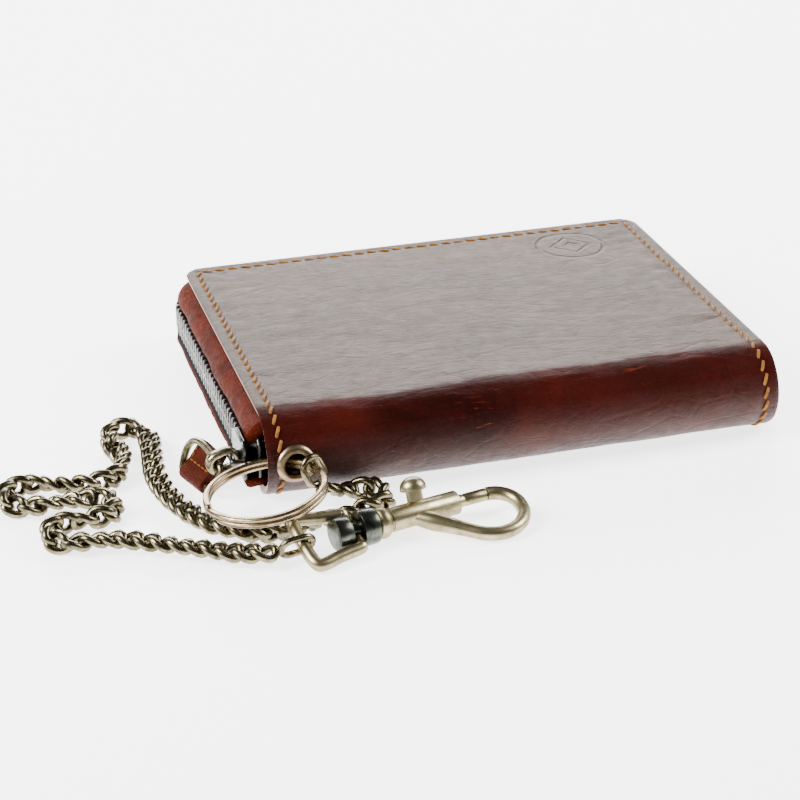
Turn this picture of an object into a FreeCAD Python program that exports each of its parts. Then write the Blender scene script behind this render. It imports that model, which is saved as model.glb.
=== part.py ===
"""Chain wallet: a zip-around leather wallet with an eyelet, a split ring, a curb chain and a snap hook.

Millimetres, +Z up.  The closed wallet lies on its back cover at z = 0, +X runs along its spine,
+Y from the spine to the opposite edge, and the origin is under the middle of the cover.
"""
import FreeCAD
import Part
import math
import os

from FreeCAD import Vector

# ---- cover -------------------------------------------------------------------------------
cover_length = 120.0        # along the spine, X
cover_width = 96.0          # from the outside of the spine to the opposite edge, Y
wallet_thickness = 20.0     # closed, Z
leather = 1.6               # cover leather
cover_corner_r = 5.0        # the two corners away from the spine
layer_gap = 0.05            # between glued or stitched layers

# ---- zip and gusset ----------------------------------------------------------------------
zip_out = 2.4               # middle of the zip outside the cover's edge
zip_height = 9.0            # middle of the zip above the table
tooth_reach = 3.6           # one tooth, from its tape to its tip
tooth_overlap = 1.2         # how far the two rows mesh
tooth_thick = 1.8
tooth_wide = 1.0
tooth_pitch = 2.54
tape_thick = 0.5
tape_tuck = 2.2             # tape that runs on behind the gusset
gusset_leather = 1.2
gusset_tuck = 3.6           # gusset that runs in under the cover
slider_slot_gap = 0.3       # between the gusset's edge and the slider

# ---- zip slider and pull -------------------------------------------------------------------
slider_length = 10.5
slider_height = 9.2
slider_plate = 0.8
slider_clear = 0.2          # between the slider's plates and what they slide over
slider_from_spine = 6.0     # nearest end of the slider, from the outside of the spine
slider_travel = 72.0
bail_rise = 1.7             # free space under the bail
bail_bar = 0.8
bail_length = 5.7
link_thick = 1.9
link_rim = 1.2
link_slot = 3.2             # across the link's hole
link_slot_length = 4.9
link_droop_deg = 20.0
loop_wire = 1.6
loop_lean_run = 2.1         # the loop's bar lies this far outside the loop's top
loop_corner_r = 1.5         # its corners start no further than this from their points
loop_bar_offset = 6.0       # the middle of the bar lies this far along from the loop's top
loop_bar_back = 6.4         # half the bar, toward the spine
loop_bar_front = 7.2        # half the bar, away from the spine
link_from_slider = 4.25     # the link's middle, from the slider's near end
link_behind_bail = 0.6      # the link's hole starts this far behind the bail's middle
tab_wide = 9.8
tab_long = 8.0
tab_leather = 0.9
tab_lean_deg = 52.0

# ---- eyelet and split ring -----------------------------------------------------------------
eyelet_from_end = 6.4
eyelet_hole_r = 3.0
eyelet_wall = 0.35
eyelet_flange_r = 4.5
eyelet_flange = 0.6
ring_outer_r = 13.5
ring_radial = 1.5
ring_coil = 1.1             # height of each of the two coils
ring_coil_gap = 0.2
ring_tilt_deg = 7.4
ring_out_x = 2.4            # the ring's middle, outside the wallet's end
ring_out_y = 8.0            # and outside its spine
ring_height = 8.9

# ---- chain and snap hook -------------------------------------------------------------------
chain_width = 5.0
link_wire = 1.5             # wire of the chain's links
end_link_length = 8.8
end_link_width = 6.0
chain_hang_deg = 25.0       # where on the ring the chain hangs, from +X
chain_above_table = 0.1
hook_angle_deg = 13.0       # the hook's axis, turned from +X
spool_r = 4.0
spool_small_r = 3.1
spool_core_r = 1.6
groove = 2.9
bail_wire = 2.5
bail_reach = 11.8           # from the groove to the bail's straight side
bail_half = 6.3
bail_roll_deg = 22.0
pin_r = 1.2
pin_clearance = 0.06
pin_head_r = 1.5
bead_r = 3.5
bead_length = 3.1
barrel_r = 2.5
barrel_length = 16.8
chamber_r = 1.6
bolt_r = 1.25
bolt_clearance = 0.06
bolt_travel = 3.5
gate_length = 7.4           # bolt that shows between the barrel and the hook's tip
eye_wire = 2.7
eye_tip_r = 5.2
eye_r = 8.0
stem_wide = 3.7
stem_thick = 1.5
stem_rise = 2.4             # stem that shows above the barrel
stem_tilt_deg = 21.0
stem_from_barrel = 9.1      # the stem's front face, from the barrel's back
collar = 3.2                # each of the spool's two collars
nose = 1.2                  # solid front of the barrel
knob_r = 2.9
spring_wire = 0.28
spring_turns = 4

# ---- inside --------------------------------------------------------------------------------
board = 0.8
lining = 0.55
pocket_sheet = 0.85
pocket_step = 9.0
pocket_count = 4
inside_margin = 5.0         # pockets stay this far inside the cover's edge
purse_wall = 0.8
purse_high = 4.6
purse_inset = 6.0           # the purse stays this far inside the pockets' sides and far edge
purse_mouth = 3.2           # across the zip's opening
purse_mouth_back = 8.0      # the opening's middle, from the purse's far edge
purse_mouth_end = 14.0      # the opening stops this far from the ends
coin_tooth_pitch = 1.9
coin_tooth = 0.8
coin_slider_length = 3.2
stop_wide = 1.2             # bottom stops of the zip
stop_high = 2.5

half_l = cover_length / 2
half_w = cover_width / 2
spine_r = wallet_thickness / 2
spine_y = -half_w + spine_r                 # where the round spine runs into the flat covers
top = wallet_thickness
hinge_z = top + 0.15                        # the cover folds about its outside face
nodes = {}


# ---- small tools ---------------------------------------------------------------------------
def block(x0, y0, z0, x1, y1, z1):
    return Part.makeBox(x1 - x0, y1 - y0, z1 - z0, Vector(x0, y0, z0))


def fuse(shapes):
    joined = shapes[0].multiFuse(shapes[1:]) if len(shapes) > 1 else shapes[0]
    return joined.removeSplitter()


def group(shapes):
    return Part.makeCompound(shapes)


def sheet(x0, y0, x1, y1, z0, z1, corner=0.0):
    """A flat piece with its two far corners rounded."""
    plate = block(x0, y0, z0, x1, y1, z1)
    if corner <= 0:
        return plate
    edges = [e for e in plate.Edges
             if abs(e.CenterOfMass.y - y1) < 1e-6 and abs(e.CenterOfMass.z - (z0 + z1) / 2) < 1e-6
             and abs(e.Length - (z1 - z0)) < 1e-6]
    return plate.makeFillet(corner, edges)


def polygon_face(points):
    return Part.Face(Part.makePolygon(points + [points[0]]))


def rounded_path(points, share=0.45, closed=False, most=1000.0):
    """Straight runs joined by tangent arcs; each arc is as large as its shorter run allows.

    No arc starts further than `most` from its corner.

    Returns the wire, its length and the arcs' radii.
    """
    count = len(points)
    corners = range(count) if closed else range(1, count - 1)
    cuts = {}
    for i in corners:
        a, b, c = points[i - 1], points[i], points[(i + 1) % count]
        back, ahead = (a - b), (c - b)
        reach = min(share * min(back.Length, ahead.Length), most)
        turn = math.pi - back.getAngle(ahead)
        back.normalize()
        ahead.normalize()
        start, end = b + back * reach, b + ahead * reach
        radius = reach / math.tan(turn / 2)
        inward = back + ahead
        inward.normalize()
        centre = b + inward * math.hypot(reach, radius)
        middle = centre - inward * radius
        cuts[i] = (start, middle, end, radius)
    edges = []
    last = cuts[count - 1][2] if closed else points[0]
    for i in corners:
        start, middle, end, radius = cuts[i]
        if (start - last).Length > 1e-6:
            edges.append(Part.LineSegment(last, start).toShape())
        edges.append(Part.Arc(start, middle, end).toShape())
        last = end
    if not closed:
        edges.append(Part.LineSegment(last, points[-1]).toShape())
    wire = Part.Wire(edges)
    return wire, wire.Length, [cuts[i][3] for i in corners]


def rod(wire, radius, start, direction):
    """A round bar along a wire of tangent edges."""
    ring = Part.Wire([Part.Circle(start, direction, radius).toShape()])
    return wire.makePipeShell([ring], True, False)


def zip_side(profile):
    """Carry a profile round the three zip sides.

    The profile is a list of (out, z): out is the distance outside the cover's edge.
    It is straight along both short sides and the far side, and turned round the two corners.
    """
    front = spine_y
    centre_y = half_w - cover_corner_r
    centre_x = half_l - cover_corner_r
    parts = []
    for side in (-1, 1):
        points = [Vector(side * (half_l + out), front, z) for out, z in profile]
        parts.append(polygon_face(points).extrude(Vector(0, centre_y - front, 0)))
        points = [Vector(side * (half_l + out), centre_y, z) for out, z in profile]
        corner = polygon_face(points)
        parts.append(corner.revolve(Vector(side * centre_x, centre_y, 0), Vector(0, 0, 1), side * 90))
    points = [Vector(-centre_x, half_w + out, z) for out, z in profile]
    parts.append(polygon_face(points).extrude(Vector(2 * centre_x, 0, 0)))
    return fuse(parts)


def zip_stations(pitch, first):
    """Places along the zip's middle line: (x, y, direction angle in degrees)."""
    centre_y = half_w - cover_corner_r
    centre_x = half_l - cover_corner_r
    bend_r = cover_corner_r + zip_out
    side = centre_y - spine_y
    bend = bend_r * math.pi / 2
    far = 2 * centre_x
    total = 2 * side + 2 * bend + far
    places = []
    run = first
    while run < total - pitch / 2:
        if run < side:
            places.append((-half_l - zip_out, spine_y + run, 90.0))
        elif run < side + bend:
            turn = (run - side) / bend_r
            places.append((-centre_x - bend_r * math.cos(turn), centre_y + bend_r * math.sin(turn),
                           90.0 - math.degrees(turn)))
        elif run < side + bend + far:
            places.append((-centre_x + run - side - bend, half_w + zip_out, 0.0))
        elif run < side + 2 * bend + far:
            turn = (run - side - bend - far) / bend_r
            places.append((centre_x + bend_r * math.sin(turn), centre_y + bend_r * math.cos(turn),
                           -math.degrees(turn)))
        else:
            left = run - side - 2 * bend - far
            places.append((half_l + zip_out, centre_y - left, -90.0))
        run += pitch
    return places


def turned(shape, angle, place):
    copy = shape.copy()
    copy.rotate(Vector(0, 0, 0), Vector(0, 0, 1), angle)
    copy.translate(place)
    return copy


# ---- cover, spine, boards and lining -----------------------------------------------------------
hinge_gap = 0.3
nodes["back_cover"] = sheet(-half_l, spine_y, half_l, half_w, 0, leather, cover_corner_r)
nodes["front_cover"] = sheet(-half_l, spine_y + hinge_gap, half_l, half_w, top - leather, top,
                             cover_corner_r)

axis_start = Vector(-half_l, spine_y, spine_r)
spine = Part.makeCylinder(spine_r, cover_length, axis_start, Vector(1, 0, 0))
spine = spine.cut(Part.makeCylinder(spine_r - leather, cover_length, axis_start, Vector(1, 0, 0)))
spine = spine.common(block(-half_l, -half_w - 1, -1, half_l, spine_y, top + 1))
eyelet_x = -half_l + eyelet_from_end
eyelet_z = spine_r
barrel_out_r = eyelet_hole_r + eyelet_wall
spine = spine.cut(Part.makeCylinder(barrel_out_r, 4 * leather,
                                    Vector(eyelet_x, -half_w - leather, eyelet_z), Vector(0, 1, 0)))
nodes["spine_cover"] = spine

# the eyelet's barrel is clinched over a washer inside; its flange follows the round leather
outside = Part.makeCylinder(spine_r + eyelet_flange, 2 * eyelet_flange_r,
                            Vector(eyelet_x - eyelet_flange_r, spine_y, spine_r), Vector(1, 0, 0))
leather_out = Part.makeCylinder(spine_r, cover_length, axis_start, Vector(1, 0, 0))
leather_in = Part.makeCylinder(spine_r - leather, cover_length, axis_start, Vector(1, 0, 0))
washer_in = Part.makeCylinder(spine_r - leather - eyelet_flange, cover_length, axis_start,
                              Vector(1, 0, 0))
disc = Part.makeCylinder(eyelet_flange_r, spine_r, Vector(eyelet_x, -half_w - 1, eyelet_z),
                         Vector(0, 1, 0))
hole = Part.makeCylinder(eyelet_hole_r, 2 * spine_r, Vector(eyelet_x, -half_w - 2, eyelet_z),
                         Vector(0, 1, 0))
barrel = Part.makeCylinder(barrel_out_r, spine_r, Vector(eyelet_x, -half_w - 1, eyelet_z),
                           Vector(0, 1, 0))
near_half = block(-half_l, -half_w - 2, 0, half_l, spine_y, top)
flange = disc.common(outside).cut(leather_out)
tube = barrel.common(outside).cut(washer_in)
nodes["eyelet"] = fuse([flange, tube]).cut(hole).common(near_half)
washer = disc.common(leather_in).cut(washer_in).cut(barrel).common(near_half)
nodes["eyelet_washer"] = washer

in_x = half_l - inside_margin
in_y0 = spine_y + 2.0
in_y1 = half_w - inside_margin
z = leather + layer_gap
nodes["back_board"] = sheet(-in_x, in_y0, in_x, in_y1, z, z + board, 2.0)
z += board + layer_gap
nodes["back_lining"] = sheet(-in_x, in_y0, in_x, in_y1, z, z + lining, 2.0)
back_stack = z + lining + layer_gap
z = top - leather - layer_gap
nodes["front_board"] = sheet(-in_x, in_y0, in_x, in_y1, z - board, z, 2.0)
z -= board + layer_gap
nodes["front_lining"] = sheet(-in_x, in_y0, in_x, in_y1, z - lining, z, 2.0)
front_stack = z - lining - layer_gap

# stepped card pockets: each one is shorter than the one under it
for i in range(pocket_count):
    reach = in_y1 - 4.0 - i * pocket_step
    low = back_stack + i * (pocket_sheet + layer_gap)
    nodes["back_card_pocket_%d" % (i + 1)] = sheet(-in_x + 3, in_y0 + 1, in_x - 3, reach,
                                                   low, low + pocket_sheet)
    high = front_stack - i * (pocket_sheet + layer_gap)
    nodes["front_card_pocket_%d" % (i + 1)] = sheet(-in_x + 3, in_y0 + 1, in_x - 3, reach,
                                                    high - pocket_sheet, high)

# coin purse with its own little zip along its far edge
purse_z0 = back_stack + pocket_count * (pocket_sheet + layer_gap) + layer_gap
purse_z1 = purse_z0 + purse_high
purse_x = in_x - purse_inset
purse_y0 = in_y0 + 2.0
purse_y1 = in_y1 - purse_inset
purse = sheet(-purse_x, purse_y0, purse_x, purse_y1, purse_z0, purse_z1, 3.0)
purse = purse.cut(block(-purse_x + purse_wall, purse_y0 + purse_wall, purse_z0 + purse_wall,
                        purse_x - purse_wall, purse_y1 - 4.0, purse_z1 - purse_wall))
mouth_y = purse_y1 - purse_mouth_back
mouth_half = in_x - purse_mouth_end
half_mouth = purse_mouth / 2
mouth = block(-mouth_half, mouth_y - half_mouth, purse_z1 - 2 * purse_wall, mouth_half,
              mouth_y + half_mouth, purse_z1 + 1)
nodes["coin_purse"] = purse.cut(mouth)
tape_z = purse_z1 - purse_wall
tape_top = tape_z + 0.3
half_tape = half_mouth - layer_gap
nodes["coin_zip_tape"] = block(-mouth_half, mouth_y - half_tape, tape_z, mouth_half,
                               mouth_y + half_tape, tape_top)
coin_teeth = []
x = -mouth_half + coin_slider_length + coin_tooth
while x < mouth_half - coin_tooth_pitch + 0.4:
    coin_teeth.append(block(x, mouth_y - 1.1, tape_top, x + coin_tooth, mouth_y + 1.1,
                            tape_top + 0.45))
    x += coin_tooth_pitch
nodes["coin_zip_teeth"] = group(coin_teeth)
coin_slider_x = -mouth_half + 0.4
nodes["coin_zip_slider"] = block(coin_slider_x, mouth_y - 1.4, tape_top,
                                 coin_slider_x + coin_slider_length, mouth_y + 1.4,
                                 tape_top + coin_tooth)

# ---- gusset, tape and teeth on the three zip sides -------------------------------------------
slider_top = zip_height + slider_height / 2
slider_low = zip_height - slider_height / 2
edge_high = slider_top + slider_slot_gap
edge_low = slider_low - slider_slot_gap
under = top - leather - layer_gap
over = leather + layer_gap
out = zip_out
upper_gusset = [(-gusset_tuck, under), (0.4, under - 0.3), (out - 0.3, under - 1.6),
                (out + 0.5, edge_high + 1.2), (out + 0.3, edge_high),
                (out - gusset_leather + 0.3, edge_high), (out - gusset_leather - 0.2, under - 2.6),
                (-0.2, under - gusset_leather - 0.2), (-gusset_tuck, under - gusset_leather)]
lower_gusset = [(-gusset_tuck, over), (0.6, over), (out + 0.4, over + 0.8), (out + 0.9, edge_low - 0.6),
                (out + 0.3, edge_low), (out - gusset_leather + 0.3, edge_low),
                (out - gusset_leather - 0.2, over + gusset_leather + 0.3),
                (-gusset_tuck, over + gusset_leather)]
front_cut = block(-2 * half_l, -half_w, 0, 2 * half_l, spine_y + hinge_gap, 2 * top)
nodes["front_gusset"] = zip_side(upper_gusset).cut(front_cut)
nodes["back_gusset"] = zip_side(lower_gusset)

row_edge = tooth_reach - tooth_overlap / 2
tape_in = out - gusset_leather - 0.3
upper_tape = [(tape_in, zip_height + 0.4), (tape_in + tape_thick, zip_height + 0.4),
              (tape_in + tape_thick, edge_high + tape_tuck), (tape_in, edge_high + tape_tuck)]
lower_tape = [(tape_in, edge_low - 1.0), (tape_in + tape_thick, edge_low - 1.0),
              (tape_in + tape_thick, zip_height - 0.4), (tape_in, zip_height - 0.4)]
nodes["zip_tape_upper"] = zip_side(upper_tape).cut(front_cut).cut(nodes["front_gusset"])
nodes["zip_tape_lower"] = zip_side(lower_tape).cut(nodes["back_gusset"])

# each tooth stands on the outside of its tape
tooth_in = tape_in + tape_thick + layer_gap - zip_out
upper_tooth = block(-tooth_wide / 2, tooth_in, zip_height - tooth_overlap / 2, tooth_wide / 2,
                    tooth_in + tooth_thick, zip_height + row_edge)
lower_tooth = block(-tooth_wide / 2, tooth_in, zip_height - row_edge, tooth_wide / 2,
                    tooth_in + tooth_thick, zip_height + tooth_overlap / 2)
slider_y0 = -half_w + slider_from_spine
slider_y1 = slider_y0 + slider_length
first_tooth = slider_y1 - spine_y + 0.9      # the teeth inside the slider are left out
upper_row = [turned(upper_tooth, angle, Vector(x, y, 0))
             for x, y, angle in zip_stations(tooth_pitch, first_tooth)]
lower_row = [turned(lower_tooth, angle, Vector(x, y, 0))
             for x, y, angle in zip_stations(tooth_pitch, first_tooth + tooth_pitch / 2)]
nodes["zip_teeth_upper"] = group(upper_row)
nodes["zip_teeth_lower"] = group(lower_row)

# ---- zip slider: two plates with folded edges, joined by a post between the rows -----------------
def outward(o0, y0, z0, o1, y1, z1):
    """A block on the left side; o is the distance outside the cover's edge."""
    return block(-half_l - o1, y0, z0, -half_l - o0, y1, z1)


tooth_out = zip_out + tooth_in + tooth_thick
plate_out = tooth_out + slider_clear
plate_in = tape_in - slider_clear
lip = 0.9
slider_parts = [
    outward(plate_out, slider_y0, slider_low, plate_out + slider_plate, slider_y1, slider_top),
    outward(plate_in - slider_plate, slider_y0, slider_low, plate_in, slider_y1, slider_top),
    outward(tape_in + tape_thick + slider_clear, slider_y0, slider_low, plate_out, slider_y1,
            slider_low + lip),
    outward(tape_in + tape_thick + slider_clear, slider_y0, slider_top - lip, plate_out, slider_y1,
            slider_top),
    outward(plate_in, slider_y0 + 0.4, zip_height - 1.3, plate_out, slider_y0 + 3.4,
            zip_height + 1.3),
]
nodes["zip_slider"] = fuse(slider_parts)
bail_o = plate_out + slider_plate + bail_rise
bail_y0 = slider_y0 + 0.8
bail_y1 = bail_y0 + bail_length
bail_half_z = 0.5
nodes["slider_bail"] = fuse([
    outward(bail_o, bail_y0, zip_height - bail_half_z, bail_o + bail_bar, bail_y1,
            zip_height + bail_half_z),
    outward(plate_out + slider_plate, bail_y0, zip_height - bail_half_z, bail_o, bail_y0 + 1.0,
            zip_height + bail_half_z),
    outward(plate_out + slider_plate, bail_y1 - 1.0, zip_height - bail_half_z, bail_o, bail_y1,
            zip_height + bail_half_z),
])

# ---- pull: an oval link on the bail, a wire loop and a folded leather tab -------------------------
bail_axis = Vector(-half_l - bail_o - bail_bar / 2, 0, zip_height)
link_y = slider_y0 + link_from_slider


def stadium(length, width, thick):
    """A flat bar with round ends along +X, from its inner end at x = 0, thick in Y."""
    r = width / 2
    body = block(r, -thick / 2, -r, length - r, thick / 2, r)
    ends = [Part.makeCylinder(r, thick, Vector(x, -thick / 2, 0), Vector(0, 1, 0))
            for x in (r, length - r)]
    return fuse([body] + ends)


hole_bar = stadium(link_slot_length, link_slot, 2 * link_thick)
rim_bar = stadium(link_slot_length + 2 * link_rim, link_slot + 2 * link_rim, link_thick)
rim_bar.translate(Vector(-link_rim, 0, 0))
pull_link = rim_bar.cut(hole_bar)
pull_link.translate(Vector(-link_behind_bail, 0, 0))
pull_link.rotate(Vector(0, 0, 0), Vector(0, 0, 1), 180)
pull_link.rotate(Vector(0, 0, 0), Vector(0, 1, 0), -link_droop_deg)
pull_link.translate(Vector(bail_axis.x, link_y, zip_height))
nodes["pull_link"] = pull_link

droop = math.radians(link_droop_deg)
seat = link_slot_length - link_behind_bail - loop_wire / 2 - 0.45
loop_top = Vector(bail_axis.x - seat * math.cos(droop), link_y, zip_height - seat * math.sin(droop))
along = Vector(-0.3, 0.954, 0)
along.normalize()
inboard = Vector(along.y, -along.x, 0)
bar_middle = loop_top - inboard * loop_lean_run + along * loop_bar_offset
bar_middle.z = loop_wire / 2 + tab_leather + 0.25
rise = loop_top - bar_middle
rise = rise - along * rise.dot(along)
top_reach = rise.Length
rise.normalize()
top_side = (loop_top - bar_middle).dot(along)
loop_outline = [(-loop_bar_back, 0), (loop_bar_front, 0), (loop_bar_front + 0.1, top_reach - 1.0),
                (2.4, top_reach + 2.4),
                (top_side + 3.4, top_reach + 1.0), (top_side - 3.0, top_reach - 0.5)]
loop_points = [bar_middle + along * s + rise * q for s, q in loop_outline]
loop_path = rounded_path(loop_points, 0.42, closed=True, most=loop_corner_r)[0]
first_edge = loop_path.Edges[0]
nodes["pull_loop"] = rod(loop_path, loop_wire / 2, first_edge.valueAt(first_edge.FirstParameter),
                         first_edge.tangentAt(first_edge.FirstParameter))

# the tab is one strip folded round the loop's bar; its two plies lie against each other
lean = math.radians(tab_lean_deg)
tab_up = inboard * math.cos(lean) + Vector(0, 0, 1) * math.sin(lean)
tab_face = along.cross(tab_up)
fold_r = loop_wire / 2 + 0.1
tab_start = bar_middle - along * (tab_wide / 2 - 0.8)
wrap = Part.makeCylinder(fold_r + tab_leather, tab_wide, tab_start, along)
plies = polygon_face([tab_start + tab_face * tab_leather,
                      tab_start + tab_face * tab_leather + tab_up * tab_long,
                      tab_start - tab_face * tab_leather + tab_up * tab_long,
                      tab_start - tab_face * tab_leather]).extrude(along * tab_wide)
nodes["pull_tab"] = fuse([wrap, plies]).cut(Part.makeCylinder(fold_r, tab_wide, tab_start, along))

# ---- split ring: two coils, through the eyelet and round the end of the spine ---------------------
ring_inner_r = ring_outer_r - ring_radial
ring_middle = Vector(-half_l - ring_out_x, -half_w - ring_out_y, ring_height)
coil_low = -ring_coil - ring_coil_gap / 2
coil_profile = fuse([
    block(ring_inner_r, 0, coil_low, ring_outer_r, 0.1, -ring_coil_gap / 2),
    block(ring_inner_r, 0, ring_coil_gap / 2, ring_outer_r, 0.1, -coil_low),
    block(ring_inner_r + 0.3, 0, -ring_coil_gap / 2, ring_outer_r - 0.3, 0.1, ring_coil_gap / 2),
])
section = [f for f in coil_profile.Faces if abs(f.normalAt(0, 0).y) > 0.99
           and abs(f.CenterOfMass.y) < 1e-6]
coils = fuse([f.revolve(Vector(0, 0, 0), Vector(0, 0, 1), 360) for f in section])
coils.rotate(Vector(0, 0, 0), Vector(0, 1, 0), -ring_tilt_deg)
coils.translate(ring_middle)
nodes["split_ring"] = coils


# ---- chain: an end link on the split ring, the free run, and an end link on the hook --------------
def oval_link(length, width, wire):
    """A closed oval of round wire in the XZ plane, long in X, centred on the origin."""
    r = (width - wire) / 2
    half = (length - wire) / 2 - r
    a, b, c, d = Vector(-half, 0, r), Vector(half, 0, r), Vector(half, 0, -r), Vector(-half, 0, -r)
    path = Part.Wire([Part.LineSegment(a, b).toShape(), Part.Arc(b, Vector(half + r, 0, 0), c).toShape(),
                      Part.LineSegment(c, d).toShape(), Part.Arc(d, Vector(-half - r, 0, 0), a).toShape()])
    return rod(path, wire / 2, a, Vector(1, 0, 0))


def placed(shape, middle, x_axis, z_axis):
    """Move a shape so that its own X and Z lie along two given directions."""
    x_axis.normalize()
    y_axis = z_axis.cross(x_axis)
    y_axis.normalize()
    z_axis = x_axis.cross(y_axis)
    copy = shape.copy()
    copy.Placement = FreeCAD.Placement(middle, FreeCAD.Rotation(x_axis, y_axis, z_axis, "XYZ"))
    return copy


hang = math.radians(chain_hang_deg)
radial = Vector(math.cos(hang), math.sin(hang), 0)
ring_mean_r = (ring_outer_r + ring_inner_r) / 2
hang_point = ring_middle + radial * ring_mean_r
hang_point.z += ring_mean_r * math.cos(hang) * math.tan(math.radians(ring_tilt_deg))
hang_down = radial * 0.42 + Vector(0, 0, -0.91)
end_link = oval_link(end_link_length, end_link_width, link_wire)
first_reach = end_link_length / 2 - link_wire - 1.75
nodes["chain_end_link_ring"] = placed(end_link, hang_point + hang_down * first_reach, hang_down, radial)

# route of the chain on the table, from the split ring to the hook: x, y, z from the middle of the wallet
lie = chain_width / 2 + chain_above_table
chain_route = [
    (-47.8, -50.4, 4.4), (-42.4, -49.1, lie), (-37.4, -48.8, lie), (-34.6, -53.5, lie),
    (-37.5, -58.3, lie), (-43.8, -58.7, lie), (-50.2, -60.1, lie), (-56.4, -62.5, lie),
    (-62.8, -63.3, lie), (-68.8, -60.8, lie), (-73.7, -56.0, lie), (-77.2, -50.0, lie),
    (-79.8, -43.5, lie), (-81.3, -37.0, lie), (-81.8, -30.4, lie), (-81.4, -23.8, lie),
    (-80.6, -17.7, lie), (-79.9, -11.4, lie), (-80.2, -5.7, lie), (-84.0, -2.2, lie),
    (-88.2, -4.5, lie), (-89.0, -9.8, lie), (-87.4, -15.6, lie), (-87.6, -21.6, lie),
    (-90.0, -27.0, lie), (-95.3, -29.2, lie), (-101.6, -27.5, lie), (-107.5, -24.6, lie),
    (-113.3, -25.4, lie), (-116.2, -30.2, lie), (-113.5, -34.9, lie), (-107.5, -35.5, lie),
    (-101.2, -34.7, lie), (-95.2, -36.0, lie), (-92.0, -40.6, lie), (-94.7, -45.2, lie),
    (-100.5, -45.0, lie), (-106.2, -45.5, lie), (-109.1, -50.2, lie), (-106.4, -54.8, lie),
    (-100.4, -54.5, lie), (-94.2, -55.7, lie), (-88.5, -58.8, lie), (-82.9, -62.5, lie),
    (-77.1, -65.7, lie), (-71.6, -69.4, lie), (-66.1, -72.2, 3.2),
]
chain_points = [Vector(*point) for point in chain_route]
chain_path, chain_length, chain_radii = rounded_path(chain_points)
nodes["chain"] = rod(chain_path, chain_width / 2, chain_points[0], chain_points[1] - chain_points[0])
chain_section = math.pi * chain_width ** 2 / 4
print("chain length %.1f mm, radii %.1f to %.1f mm" % (chain_length, min(chain_radii), max(chain_radii)))
print("chain radii", " ".join("%.1f" % r for r in chain_radii))
print("chain volume / (section x length) = %.4f" % (nodes["chain"].Volume / chain_section / chain_length))

# ---- snap hook, drawn along its own axis: +X to the eye, from the middle of the swivel's groove ----
hook_middle = Vector(-46.7, -69.6, spool_r + 0.05)


def on_hook(shape):
    return turned(shape, hook_angle_deg, hook_middle)


def turned_bar(outline):
    """A body of revolution about the hook's axis from (along, radius) points."""
    points = [Vector(u, 0, r) for u, r in outline]
    return polygon_face(points).revolve(Vector(0, 0, 0), Vector(1, 0, 0), 360)


big_end = groove / 2 + collar + 0.3
bead_start = big_end + 0.2
barrel_start = bead_start + bead_length
head_start = barrel_start + 0.15
head_end = head_start + 0.8
nodes["hook_swivel"] = on_hook(turned_bar([
    (-groove / 2 - collar, 0), (-groove / 2 - collar, spool_small_r), (-groove / 2, spool_small_r),
    (-groove / 2, spool_core_r), (groove / 2, spool_core_r), (groove / 2, spool_r),
    (big_end, spool_r), (big_end, pin_r), (head_start, pin_r), (head_start, pin_head_r),
    (head_end, pin_head_r), (head_end, 0)]))

bail_roll = math.radians(bail_roll_deg)
across = Vector(0, math.cos(bail_roll), math.sin(bail_roll))
bail_side = spool_small_r + 0.35 + bail_wire / 2
bail_outline = [(0, spool_core_r + 0.15), (0, bail_side), (-4.6, bail_side + 0.3),
                (-bail_reach + 2.4, bail_half), (-bail_reach, bail_side - 0.1)]
bail_points = [Vector(u, 0, 0) + across * v for u, v in bail_outline]
bail_points += [Vector(u, 0, 0) - across * v for u, v in reversed(bail_outline)]
bail_path = rounded_path(bail_points)[0]
nodes["hook_bail"] = on_hook(rod(bail_path, bail_wire / 2, bail_points[0], across))

barrel_end = barrel_start + barrel_length
tip = barrel_end + gate_length
eye_drop = math.asin((hook_middle.z - eye_wire / 2 - 0.05) / (eye_tip_r + eye_r))
eye_down = Vector(0, -math.cos(eye_drop), -math.sin(eye_drop))


def eye_at(u, e):
    return Vector(u, 0, 0) + eye_down * e


turn_u = tip + eye_tip_r - eye_r
diagonal = eye_r * math.sqrt(0.5)
horn_run = diagonal + eye_tip_r - barrel_r - 0.1
eye_path = Part.Wire([
    Part.Arc(eye_at(tip, 0), eye_at(tip + eye_tip_r * math.sqrt(0.5), eye_tip_r * (1 - math.sqrt(0.5))),
             eye_at(tip + eye_tip_r, eye_tip_r)).toShape(),
    Part.Arc(eye_at(turn_u + eye_r, eye_tip_r), eye_at(turn_u + eye_r * math.sin(math.radians(22.5)),
             eye_tip_r + eye_r * math.cos(math.radians(22.5))),
             eye_at(turn_u - diagonal, eye_tip_r + diagonal)).toShape(),
    Part.LineSegment(eye_at(turn_u - diagonal, eye_tip_r + diagonal),
                     eye_at(turn_u - diagonal - horn_run, eye_tip_r + diagonal - horn_run)).toShape()])
eye = rod(eye_path, eye_wire / 2, eye_at(tip, 0), Vector(1, 0, 0))
shell = turned_bar([(bead_start, pin_r + pin_clearance), (bead_start, bead_r - 1.0),
                    (bead_start + 1.0, bead_r), (barrel_start - 1.0, bead_r),
                    (barrel_start, barrel_r), (barrel_end, barrel_r),
                    (barrel_end, bolt_r + bolt_clearance), (barrel_end - nose, bolt_r + bolt_clearance),
                    (barrel_end - nose, chamber_r), (barrel_start, chamber_r),
                    (barrel_start, pin_r + pin_clearance)])
stem_front = barrel_start + stem_from_barrel
stem_back = stem_front - stem_wide
bore = Part.makeCylinder(chamber_r, barrel_length - nose, Vector(barrel_start, 0, 0), Vector(1, 0, 0))
slot = block(stem_back - bolt_travel - 0.3, -stem_thick / 2 - 0.2, 0, stem_front + 0.3,
             stem_thick / 2 + 0.2, bead_r)
slot.rotate(Vector(0, 0, 0), Vector(1, 0, 0), -stem_tilt_deg)
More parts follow.
